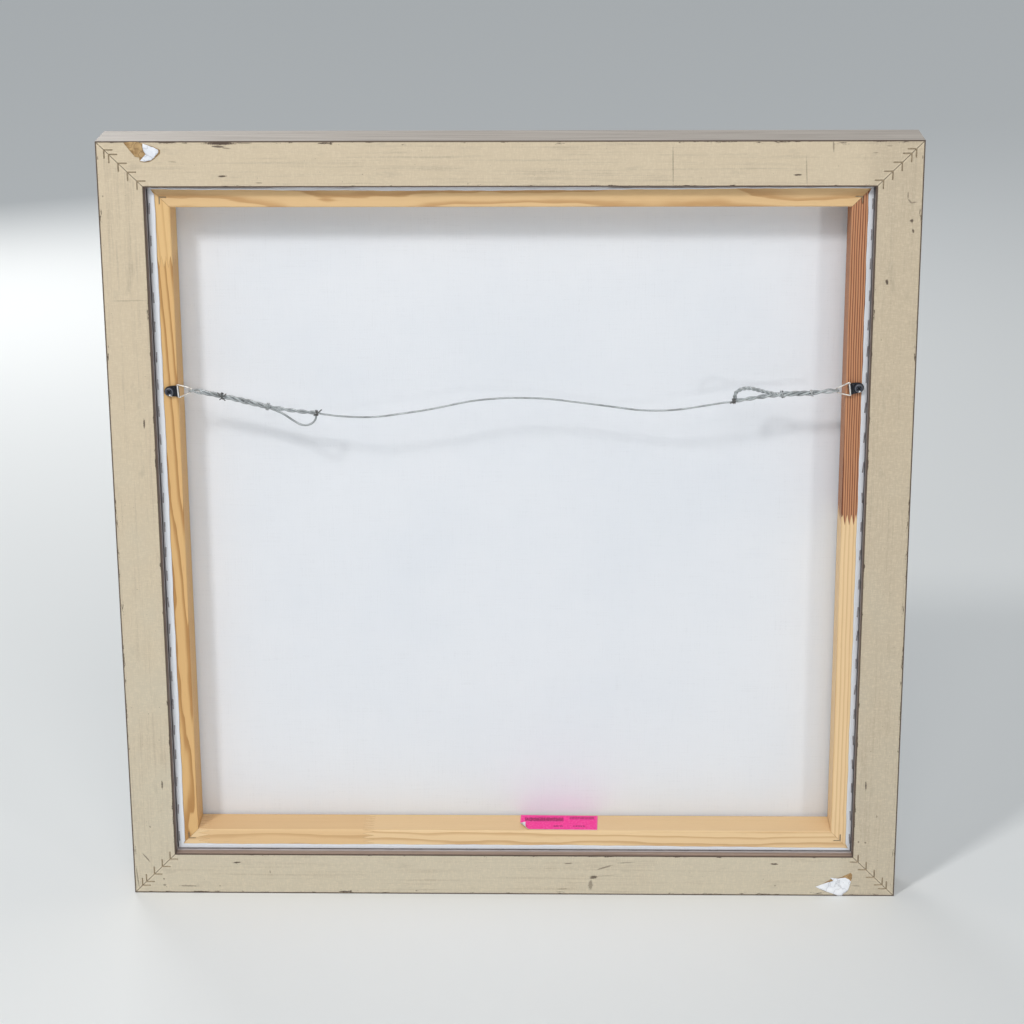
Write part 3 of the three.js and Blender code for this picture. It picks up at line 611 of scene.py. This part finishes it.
def bevelled(node, width, material):
    """Softens a CAD node's edges and gives it its material."""
    bevel = nodes[node].modifiers.new("soft edges", "BEVEL")
    bevel.width = width * MM
    bevel.segments = 2
    bevel.limit_method = "ANGLE"
    bevel.angle_limit = math.radians(40)
    bevel.harden_normals = False
    nodes[node].data.materials.clear()
    nodes[node].data.materials.append(material)


paint = frame_paint()
for side in SIDES:
    bevelled(f"frame_rail_{side}", 0.3, paint)

nail_steel = metal("nail_steel", 0.1, ((190, 170, 138), (150, 128, 100)), 600, 0.55, 1500)
for corner in CORNERS:
    for number in range(1, 6):
        bevelled(f"frame_v_nail_{corner}_{number}", 0.08, nail_steel)
    bevelled(f"stretcher_v_nail_{corner}", 0.08, nail_steel)

# -------- the pine stretcher

FINGER = 3.8 * MM  # the pitch of a finger joint
FINGER_LENGTH = 10 * MM
HEART_DEPTH = 62 * MM  # how far in front of the frame's middle the tree's heart lies


def pine(name, upright, parts, tilt, wave, heart):
    """Pine along one bar. Parts are (its end along the bar, light, dark, rings to the metre, contrast)."""
    n = Nodes(name, Specular_IOR_Level=0.3, Coat_Weight=0.05, Coat_Roughness=0.4)
    x, y, z = n.split()
    along, across = (z, x) if upright else (x, z)
    wobble = n.streaks(along * 7, across * 26, y * 26, 3) - 0.5
    small = n.streaks(along * 30, across * 900, y * 900, 3, 0.6)
    fibre = n.streaks(along * 16, across * 2600, y * 2600, 4, 0.7)
    flat = across - heart + along * tilt + wobble * wave
    deep = y - HEART_DEPTH + wobble * wave * 0.6
    distance = n.root(flat * flat + deep * deep)
    zigzag = n.math("PINGPONG", (across + y) / (FINGER / 2), 1.0) * FINGER_LENGTH
    colour = None
    seam = None
    for end, light, dark, rate, contrast in parts:
        ring = n.math("FRACT", distance * rate + (small - 0.5) * 0.12)
        late = ring.step(0.40, 0.88) * ring.step(1.0, 0.92)
        tone = n.mix((late * contrast + (fibre - 0.5) * 0.35 + 0.05).step(0.0, 1.0), rgb(*light), rgb(*dark))
        if colour is None:
            colour = tone
        else:
            colour = n.mix((along + zigzag).step(last - 0.00008, last + 0.00008), colour, tone)
            line = abs(along + zigzag - last).step(0.00055, 0.0001)
            seam = line if seam is None else seam.most(line)
        last = end
    if seam:
        colour = n.mix(seam * 0.55, colour, rgb(120, 84, 52))
    pores = n.streaks(along * 60, across * 2200, y * 2200, 2).step(0.66, 0.76)
    colour = n.mix(pores * 0.3, colour, rgb(150, 106, 66))
    return n.end(colour, 0.55 + 0.15 * fibre, fibre * 0.6 - pores * 0.3 + small * 0.2, 0.12 * MM)


PALE = ((236, 204, 158), (196, 150, 98))
TAN = ((230, 194, 146), (194, 148, 96))
TOP_TAN = ((224, 188, 138), (186, 140, 90))
HONEY = ((222, 180, 122), (164, 112, 58))
LIGHT_HONEY = ((228, 190, 134), (196, 146, 88))
RED = ((196, 140, 102), (112, 60, 36))
PINES = {
    "bottom": pine(
        "pine_bottom", False, [(-0.277, *PALE, 460, 0.4), (-0.127, *TAN, 420, 0.45), (1, *PALE, 560, 0.5)],
        0.012, 0.014, 0.030,
    ),
    "top": pine("pine_top", False, [(1, *TOP_TAN, 330, 0.6)], 0.01, 0.012, 0.66),
    "left": pine(
        "pine_left", True, [(0.592, *HONEY, 420, 0.6), (1, *LIGHT_HONEY, 380, 0.4)], 0.05, 0.02, -0.300,
    ),
    "right": pine("pine_right", True, [(0.362, *PALE, 320, 0.4), (1, *RED, 590, 1.0)], 0.002, 0.003, 0.42),
}
for side in SIDES:
    bevelled(f"stretcher_bar_{side}", 0.25, PINES[side])

# -------- the canvas

CANVAS_LOW = np.array((-305.35, 40.7)) * MM
CANVAS_HIGH = np.array((306.15, 652.2)) * MM
CANVAS_BACK = -16.5 * MM
CANVAS_FRONT = 21.5 * MM
CLOTH = 0.7 * MM
FRONT_ROUND = 1.8 * MM
BACK_ROUND = 1.6 * MM
LOW_FOLD = 0.4  # how round its fold is at the bottom, as a share of that
CELLS = 84  # along each side
SLACK = 0.5 * MM  # how far its middle falls back
THREAD = 0.85 * MM  # the pitch of its weave
STAPLE_PITCH = 25 * MM
# How far the cloth stands off the bars' sides, in mm, at each depth; more on the left than elsewhere.
SIDE_BULGE = ((12, 0), (4, 0.2), (-4, 0.5), (-11, 0.7), (-13.6, 0.5))


def cloth():
    n = Nodes("canvas_cloth", Specular_IOR_Level=0.2, Sheen_Weight=0.15, Sheen_Roughness=0.6)
    x, y, z = n.split()
    thread = 2 * math.pi / THREAD
    slub_x = n.streaks(x * 35, y * 400, z * 1100, 3, 0.6)
    slub_z = n.streaks(x * 1100, y * 400, z * 35, 3, 0.6)
    weft = (z * thread + (x * thread / 2).sin() * 1.2).sin()
    warp = (x * thread + (z * thread / 2).sin() * 1.2).sin()
    weave = weft.most(warp) * 0.5 + slub_x + slub_z
    cloudy = n.noise(7, 4, 0.55)
    front = y.step(CANVAS_FRONT - 0.0004, CANVAS_FRONT - 0.0001)
    raw = n.mix(cloudy.step(0.3, 0.75), rgb(232, 234, 238), rgb(228, 231, 236))
    raw = n.mix((slub_x + slub_z - 1.0).step(0.05, 0.35) * 0.25, raw, rgb(212, 214, 218))
    primed = n.mix(cloudy.step(0.35, 0.7), rgb(240, 239, 234), rgb(233, 232, 226))
    return n.end(n.mix(front, raw, primed), 0.85, weave * 0.35, 0.22 * MM)


def edge_of(count):
    """Points round the canvas's outline, seen from the back, anticlockwise from its lower left corner."""
    t = np.linspace(0, 1, count, endpoint=False)
    lo, hi = CANVAS_LOW, CANVAS_HIGH
    low = np.column_stack([lo[0] + (hi[0] - lo[0]) * t, np.full(count, lo[1])])
    right = np.column_stack([np.full(count, hi[0]), lo[1] + (hi[1] - lo[1]) * t])
    high = np.column_stack([hi[0] - (hi[0] - lo[0]) * t, np.full(count, hi[1])])
    left = np.column_stack([np.full(count, lo[0]), hi[1] - (hi[1] - lo[1]) * t])
    return np.vstack([low, right, high, left])


def turnover(point):
    """How far the cloth is turned over onto the back of the bars there, cut a little unevenly."""
    x, z = point
    lo, hi = CANVAS_LOW, CANVAS_HIGH
    u = (x - lo[0]) / (hi[0] - lo[0])
    v = (z - lo[1]) / (hi[1] - lo[1])
    if abs(z - hi[1]) < 1e-6:
        width = 2.3 + 1.6 * math.sin(math.pi * min(1, u * 1.1 + 0.05))
    elif abs(z - lo[1]) < 1e-6:
        width = 4.2 - 1.7 * max(0, u - 0.6) / 0.4
    elif abs(x - lo[0]) < 1e-6:
        width = 5.8
    else:
        width = 4.7
    ripple = 0.16 * math.sin(v * 61 + u * 47) + 0.14 * math.sin(v * 151 + u * 173 + 1)
    return max(1.6, width + ripple) * MM


def canvas_sheet(material):
    """The cloth: its face, its folds round the bars' two edges, its sides and its turned-over edge."""
    count = CELLS
    lo, hi = CANVAS_LOW + FRONT_ROUND, CANVAS_HIGH - FRONT_ROUND
    grid_x = np.linspace(lo[0], hi[0], count + 1)
    grid_z = np.linspace(lo[1], hi[1], count + 1)
    points = []
    for z in grid_z:
        for x in grid_x:
            u = (x - lo[0]) / (hi[0] - lo[0])
            v = (z - lo[1]) / (hi[1] - lo[1])
            slack = SLACK * (16 * u * (1 - u) * v * (1 - v)) ** 0.5
            points.append((x, CANVAS_FRONT - slack, z))
    row = count + 1
    steps = range(count)
    faces = [(k, k + row, k + row + 1, k + 1) for j in steps for k in range(j * row, j * row + count)]
    around = [*steps] + [j * row + count for j in steps]
    around += [count * row + count - i for i in steps] + [(count - j) * row for j in steps]
    outline = edge_of(count)
    profile = []
    for angle in (22, 45, 67, 90):
        a = math.radians(angle)
        y = CANVAS_FRONT - FRONT_ROUND * (1 - math.cos(a))
        profile.append((FRONT_ROUND * (1 - math.sin(a)), y, None))
    for y, bulge in SIDE_BULGE:
        profile.append((bulge * MM, y * MM, "side"))
    for angle in (0, 30, 60, 90):
        a = math.radians(angle)
        profile.append((BACK_ROUND * (1 - math.cos(a)), CANVAS_BACK + BACK_ROUND * (1 - math.sin(a)), None))
    profile += [(share, CANVAS_BACK, "strip") for share in (0.45, 0.8, 1.0)]
    last = around
    for inset, y, kind in profile:
        start = len(points)
        for i, p in enumerate(outline):
            run = i * (CANVAS_HIGH[0] - CANVAS_LOW[0]) / count
            pull = 0.5 + 0.5 * math.cos(2 * math.pi * run / STAPLE_PITCH)
            here, depth = inset, y
            out = 0
            on_low, on_left, on_right = p[1] <= CANVAS_LOW[1], p[0] <= CANVAS_LOW[0], p[0] >= CANVAS_HIGH[0]
            if kind is None and on_low and y < 0:
                here = LOW_FOLD * inset
            if kind == "side":
                here = 0
                out = inset * (1 - 0.3 * pull) * (1.5 if p[0] < 0 else 0.7)
            if kind == "strip":
                here = inset * turnover(p)
                depth = y - 0.10 * MM * (1 - pull) * inset
            k = np.clip(p, CANVAS_LOW + here, CANVAS_HIGH - here)
            away = (-1, 0) if on_left else (1, 0) if on_right else (0, -1) if on_low else (0, 0)
            k = k + out * np.array(away)
            points.append((k[0], depth, k[1]))
        now = list(range(start, start + 4 * count))
        for i in range(4 * count):
            j = (i + 1) % (4 * count)
            faces.append((last[i], last[j], now[j], now[i]))
        last = now
    made = make("canvas_cloth", points, faces, material)
    thick = made.modifiers.new("cloth", "SOLIDIFY")
    thick.thickness = CLOTH
    thick.offset = -1
    return made


canvas = canvas_sheet(cloth())
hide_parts("canvas")

# Staples that hold the cloth's edge: on the strip at the left and right, on the bars' sides above and below.
CROWN = (9.0, 1.1, 0.6)  # length, width and height in mm
LEGS_IN = 1.2  # how much of the legs is modelled, in mm
STAPLE_SIDES = 8
random = np.random.default_rng(7)


def rounded_bar(length, width, height, bend):
    """A flat wire with its two ends bent down into the wood, as rings of points along it."""
    half = length / 2
    start = [(-half, -bend), (-half + 0.1, -0.25), (-half + 0.5, 0)]
    path = start + [(-s, h) for s, h in reversed(start)]
    out = []
    for i, (s, h) in enumerate(path):
        t = np.array(path[min(i + 1, 5)]) - np.array(path[max(i - 1, 0)])
        t = t / np.linalg.norm(t)
        for a in np.arange(STAPLE_SIDES) * 2 * math.pi / STAPLE_SIDES:
            w = width / 2 * math.copysign(abs(math.cos(a)) ** 0.6, math.cos(a))
            k = height / 2 * math.copysign(abs(math.sin(a)) ** 0.6, math.sin(a))
            out.append((s - t[1] * k, w, h + t[0] * k))
    return np.array(out).reshape(len(path), STAPLE_SIDES, 3)


def staples(name, start, end, outward_axis, material):
    """A row of staples from start to end, each lying along the row and standing a little off the cloth."""
    start, end = np.array(start), np.array(end)
    run = np.linalg.norm(end - start)
    along = (end - start) / run
    out = np.array(outward_axis, float)
    out /= np.linalg.norm(out)
    points, faces = [], []
    at = 12 * MM
    while at < run - 10 * MM:
        lean = math.radians(random.uniform(-5, 5))
        side = np.cross(out, along)
        a = along * math.cos(lean) + side * math.sin(lean)
        b = np.cross(out, a)
        base = start + along * at + side * random.uniform(-0.15, 0.15) * MM
        loops = rounded_bar(*CROWN, LEGS_IN) * MM
        first = len(points)
        points += [base + a * p[0] + b * p[1] + out * p[2] for p in loops.reshape(-1, 3)]
        count = STAPLE_SIDES
        for near in range(first, len(points) - count, count):
            far = near + count
            for j in range(count):
                k = (j + 1) % count
                faces.append((near + j, far + j, far + k, near + k))
        faces.append(tuple(range(first, first + count)))
        faces.append(tuple(range(len(points) - 1, len(points) - 1 - count, -1)))
        at += STAPLE_PITCH + random.uniform(-3, 3) * MM
    return make(name, points, faces, material)


staple_steel = metal("staple_steel", 0.8, ((178, 176, 178), (138, 134, 136)), 300, 0.45, 1800)
ROW_IN = 1.15 * MM  # how far in from the canvas's outline the left and right rows lie
ROW_OFF = 0.15 * MM  # how far they stand off its back, and the other two off its sides
ROW_DEEP = 1.3 * MM  # how far in front of its back the rows above and below lie
x0, z0 = CANVAS_LOW - 0.05 * MM
x1, z1 = CANVAS_HIGH + 0.05 * MM
on_back = CANVAS_BACK - ROW_OFF
on_side = CANVAS_BACK + ROW_DEEP
left_x, right_x = CANVAS_LOW[0] + ROW_IN, CANVAS_HIGH[0] - ROW_IN
low_z, high_z = CANVAS_LOW[1] - ROW_OFF, CANVAS_HIGH[1] + ROW_OFF
ROWS = {
    "left": ((left_x, on_back, z0), (left_x, on_back, z1), (0, -1, 0)),
    "right": ((right_x, on_back, z0), (right_x, on_back, z1), (0, -1, 0)),
    "bottom": ((x0, on_side, low_z), (x1, on_side, low_z), (0, -0.2, -1)),
    "top": ((x0, on_side, high_z), (x1, on_side, high_z), (0, -0.2, 1)),
}
rows = [staples(f"staples_{side}", *row, staple_steel) for side, row in ROWS.items()]

# -------- straps, screws and rings

# Where each strap is screwed down and where its ring turns, along X and Z in mm.
HANGERS = {"left": ((-294.45, 473.0), (-287.47, 473.49)), "right": ((298.65, 476.9), (291.70, 476.05))}


def strap_black(side):
    (bx, bz), (px, pz) = HANGERS[side]
    n = Nodes(f"strap_black_{side}", Metallic=0.5)
    x, _, z = n.split()
    reach = math.hypot(px - bx, pz - bz)
    along = (x - bx * MM) * ((px - bx) / reach) + (z - bz * MM) * ((pz - bz) / reach)
    scuffs = n.noise(900, 3, 0.7)
    # Painted highlight: a bright line along the barrel's crest, where the strap wraps round the ring.
    worn = abs(along - (reach + 0.75) * MM + (scuffs - 0.5) * 0.0004).step(0.00075, 0.0003)
    flecks = scuffs.step(0.66, 0.74) * 0.5
    dx, dz = x - (bx * MM + 0.0010), z - (bz * MM - 0.0042)
    glint = n.root(dx * dx + dz * dz).step(0.0015, 0.0009)
    colour = n.mix(worn.most(flecks).most(glint), rgb(40, 42, 48), rgb(226, 224, 220))
    return n.end(colour, 0.34 + 0.2 * scuffs - 0.1 * worn, scuffs, 0.08 * MM)


def screw_black(side):
    (bx, bz), _ = HANGERS[side]
    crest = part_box(f"hanger_screw_{side}")[0].y
    n = Nodes(f"screw_black_{side}", Metallic=0.25)
    x, y, z = n.split()
    dx, dz = x - bx * MM, z - bz * MM
    out = n.root(dx * dx + dz * dz)
    scuffs = n.noise(1100, 3, 0.7)
    # Painted highlight: a lighter ring round the head's rounded rim.
    rim = abs(out + (scuffs - 0.5) * 0.0006 - 0.0032).step(0.0007, 0.0001) * 0.35
    low_x, low_z = x - (bx * MM + 0.0006), z - (bz * MM - 0.0027)
    glint = n.root(low_x * low_x + low_z * low_z).step(0.0010, 0.0006)
    # Painted shade: the cross recess is coloured near black.
    recess_shade = out.step(0.0022, 0.0019) * y.step(crest + 0.0001, crest + 0.0006)
    colour = n.mix(rim, rgb(54, 58, 68), rgb(144, 146, 152))
    colour = n.mix(glint, colour, rgb(232, 232, 230))
    colour = n.mix(recess_shade, colour, rgb(6, 6, 8))
    return n.end(colour, 0.36 + 0.15 * scuffs, scuffs, 0.06 * MM)


n = Nodes("ring_nickel", Metallic=0.75)
nickel = n.mix(n.noise(500, 3).step(0.3, 0.7), rgb(240, 236, 228), rgb(186, 180, 172))
ring_nickel = n.end(nickel, 0.25 + 0.15 * n.noise(700, 2), n.noise(1600, 2), 0.05 * MM)
for side in ("left", "right"):
    bevelled(f"hanger_strap_{side}", 0.15, strap_black(side))
    bevelled(f"hanger_screw_{side}", 0.12, screw_black(side))
    ring = nodes[f"hanger_ring_{side}"].data
    ring.materials.clear()
    ring.materials.append(ring_nickel)
    ring.shade_smooth()

# -------- sticker and torn paper


def paper_piece(name, outline, place, thickness, spacing, *materials):
    """A sheet cut to an outline, in mm, and bent: place gives each point of it in metres and its way up."""
    outline = [Vector(p) for p in outline]
    low = [min(p[k] for p in outline) for k in (0, 1)]
    high = [max(p[k] for p in outline) for k in (0, 1)]
    rim = []
    for a, b in zip(outline, outline[1:] + outline[:1]):
        steps = max(1, round((b - a).length / spacing))
        rim += [a.lerp(b, i / steps) for i in range(steps)]
    across, along = (np.arange(low[k] + spacing / 2, high[k], spacing) for k in (0, 1))
    grid = [Vector((x, z)) for x in across for z in along]
    grid = [g for g in grid if min((g - r).length for r in rim) > spacing * 0.4]
    loop = [(i, (i + 1) % len(rim)) for i in range(len(rim))]
    flat, _, triangles, *_ = geometry.delaunay_2d_cdt(rim + grid, loop, [], 1, 1e-6)
    top, bottom = [], []
    for p in flat:
        at, up = place(*p)
        top.append(np.array(at) + np.array(up) * thickness * MM / 2)
        bottom.append(np.array(at) - np.array(up) * thickness * MM / 2)
    count = len(flat)
    used = {}
    for t in triangles:
        for a, b in zip(t, (*t[1:], t[0])):
            used[a, b] = used.get((a, b), 0) + 1
    faces = [tuple(t) for t in triangles] + [tuple(v + count for v in reversed(t)) for t in triangles]
    faces += [(b, a, a + count, b + count) for a, b in used if (b, a) not in used]
    made = make(name, top + bottom, faces, *materials)
    if len(materials) > 1:
        for polygon in list(made.data.polygons)[len(triangles):]:
            polygon.material_index = 1
    return made


def sticker_pink():
    n = Nodes("sticker_pink", Specular_IOR_Level=0.4)
    x, y, _ = n.split()
    u = (x - STICKER["x"] * MM) / (STICKER["length"] / 2 * MM)  # -1 to 1 along it
    v = (y - STICKER["y"] * MM) / (STICKER["width"] / 2 * MM)  # and across it
    soft = n.noise(500, 3)
    blocks = n.streaks(x * 900, y * 500, 0, 1).step(0.42, 0.50)
    row = abs(v - 0.42 + (soft - 0.5) * 0.1).step(0.30, 0.22) * abs(u + 0.38).step(0.51, 0.49)
    right = abs(v - 0.62).step(0.22, 0.14) * abs(u - 0.60).step(0.34, 0.30) * 0.7
    two = abs(u + 0.02).step(0.13, 0.10).most(abs(u - 0.52).step(0.16, 0.13))
    small = abs(v + 0.52).step(0.10, 0.05) * two
    ink = (row.most(right) * (0.35 + 0.65 * blocks)).most(small * blocks)
    pink = n.mix(soft.step(0.3, 0.7), rgb(255, 54, 158), rgb(246, 34, 140))
    pale = n.streaks(x * 700, y * 420, 0, 2, 0.6).step(0.52, 0.72) * 0.5
    pink = n.mix(pale, pink, rgb(255, 128, 188))
    edge = abs(u).step(0.965, 0.985).most(abs(v).step(0.93, 0.97)) * 0.35
    pink = n.mix(edge, pink, rgb(252, 140, 196))
    return n.end(n.mix(ink, pink, rgb(150, 10, 84)), 0.5, soft, 0.06 * MM)


def plain_paper(name, first, second, scale, fibres):
    n = Nodes(name, Specular_IOR_Level=0.2)
    x, y, z = n.split()
    clouds = n.noise(scale, 4, 0.6)
    thread = n.streaks(x * 260, y * 100, z * 900, 3, 0.7).step(0.5, 0.8)
    # Painted shade: the creases are coloured darker.
    shaded_crease = abs(n.noise(170, 1) - 0.5).step(0.03, 0.0)
    colour = n.mix(clouds.step(0.3, 0.7).most(thread * fibres), rgb(*first), rgb(*second))
    colour = n.mix(shaded_crease * 0.5, colour, rgb(*[c * 0.75 for c in second]))
    return n.end(colour, 0.8, clouds + thread * 0.5 + shaded_crease, 0.25 * MM)


white_paper = plain_paper("torn_white", (244, 245, 248), (226, 228, 234), 90, 0.4)
kraft = plain_paper("torn_kraft", (196, 164, 118), (150, 118, 80), 160, 0.8)
# The sticker's middle, its length and its width, in mm.
STICKER = {"x": 41.4, "y": 1.2, "z": 59.55, "turn": math.radians(-1.2), "length": 70.6, "width": 30.6}
FOLD = (9.5, 16.0)  # how much of each side the peeled corner takes, in mm
CURL = 3.2  # the radius that it curls to, in mm


def on_bar(u, v):
    """A point of the sticker, given in mm from its middle: flat on the bar, and curled up past the fold."""
    a = np.array((-STICKER["length"] / 2 + FOLD[0], -STICKER["width"] / 2))
    b = np.array((-STICKER["length"] / 2, -STICKER["width"] / 2 + FOLD[1]))
    along = (b - a) / np.linalg.norm(b - a)
    away = np.array((-along[1], along[0]))
    past = float((np.array((u, v)) - a) @ away)
    lift, tip = 0.0, 0.0
    if past > 0:
        tip = past / CURL
        u, v = np.array((u, v)) - away * (past - CURL * math.sin(tip))
        lift = CURL * (1 - math.cos(tip))
    c, s = math.cos(STICKER["turn"]), math.sin(STICKER["turn"])
    up = np.array((-away[0] * math.sin(tip), -away[1] * math.sin(tip), math.cos(tip)))
    at = (STICKER["x"] + u * c - v * s, STICKER["y"] + u * s + v * c, STICKER["z"] - 0.05 + lift)
    return np.array(at) * MM, (up[0] * c - up[1] * s, up[0] * s + up[1] * c, up[2])


half = (STICKER["length"] / 2, STICKER["width"] / 2)
corners = [(-half[0], -half[1]), (half[0], -half[1]), (half[0], half[1]), (-half[0], half[1])]
sticker = paper_piece("size_sticker_paper", corners, on_bar, 0.14, 1.6, sticker_pink(), white_paper)
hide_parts("size_sticker")


def lifted(height, ruffle):
    """Paper on the frame's back: its place and its way up, at a height and ruffled, both in mm."""
    def place(x, z):
        lift = height + ruffle * (math.sin(x * 0.9 + z * 0.4) + math.sin(z * 1.3 - x * 0.5))
        return np.array((x, BACK / MM - max(0.12, lift), z)) * MM, (0, -1, 0)
    return place


TOP_KRAFT = [
    (-322, 690.8), (-316.3, 691.6), (-310, 691.5), (-306.6, 690.3), (-298, 687.8), (-293, 685.6),
    (-291.5, 684.4), (-291.6, 681.8), (-294, 679.6), (-297, 676.9), (-300, 675), (-304.6, 674.2),
    (-308.9, 675), (-309.3, 678.4), (-312.8, 679), (-317.3, 684.7),
]
TOP_WHITE = [
    (-305.9, 690.3), (-301.8, 688.7), (-296.3, 686.8), (-293, 684.9), (-293, 682.7), (-295, 680.4),
    (-297.2, 677.9), (-299.3, 676.1), (-304.6, 675), (-308.7, 675.6), (-306.5, 678.3), (-303.6, 681.1),
    (-305.5, 684), (-306.1, 687.4),
]
LOW_KRAFT = [
    (282.5, 12.6), (290.6, 18), (293, 17.4), (298.2, 18.8), (301, 20.5), (306.3, 23), (307.6, 21),
    (307.2, 17), (305, 9), (303.6, 4.4), (299.5, 1.8), (295, 3), (288, 8),
]
LOW_WHITE = [
    (274.3, 9.2), (284.7, 13.4), (290.7, 15.1), (287.6, 18.4), (295.2, 17.6), (301.2, 18.5),
    (305, 16.5), (306.6, 14.4), (304.6, 6.8), (303.1, 4.3), (300.4, 2.6), (298.8, 0.6), (295, 0.4),
    (291.1, 2.1), (283, 5),
]
for name, outline, place, material, node in (
    ("paper_scrap_top_kraft", TOP_KRAFT, lifted(0.18, 0.04), kraft, "paper_scrap_top"),
    ("paper_scrap_top_white", TOP_WHITE, lifted(0.75, 0.20), white_paper, None),
    ("paper_scrap_bottom_kraft", LOW_KRAFT, lifted(0.18, 0.04), kraft, "paper_scrap_bottom"),
    ("paper_scrap_bottom_white", LOW_WHITE, lifted(0.62, 0.10), white_paper, None),
):
    scrap = paper_piece(name, outline, place, 0.2, 1.4, material)
    if node:
        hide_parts(node)

# -------- floor and light

FLOOR = 40  # half its width in metres
floor_material = Nodes("floor").end(rgb(240, 240, 238), 0.8)
floor_corners = [(-FLOOR, -FLOOR, 0), (FLOOR, -FLOOR, 0), (FLOOR, FLOOR, 0), (-FLOOR, FLOOR, 0)]
make("floor", floor_corners, [(0, 1, 2, 3)], floor_material, body=None)


def soft_light(name, at, aim, size, watts):
    data = bpy.data.lights.new(name, "AREA")
    data.shape = "SQUARE"
    data.size = size
    data.energy = watts
    light = bpy.data.objects.new(name, data)
    light.location = at
    light.rotation_mode = "QUATERNION"
    light.rotation_quaternion = (Vector(aim) - Vector(at)).to_track_quat("-Z", "Y")
    scene.collection.objects.link(light)


MIDDLE = (0, 0, 0.4)
soft_light("key", (-1.25, -1.95, 2.5), MIDDLE, 0.35, 35)
soft_light("side", (1.9, -2.5, 0.6), MIDDLE, 0.35, 12)
soft_light("front", (-1.2, 2.6, 1.3), MIDDLE, 1.2, 22)
fill = bpy.data.lights.new("fill", "SUN")
fill.energy = 0.80
fill.angle = math.radians(32)
fill_object = bpy.data.objects.new("fill", fill)
fill_object.rotation_euler = (math.radians(48), 0, math.radians(4))
scene.collection.objects.link(fill_object)
scene.world = bpy.data.worlds.new("studio")
scene.world.use_nodes = True
background = scene.world.node_tree.nodes["Background"]
background.inputs["Color"].default_value = (0.83, 0.92, 1.0, 1)
background.inputs["Strength"].default_value = 0.32
scene.view_settings.view_transform = "Standard"
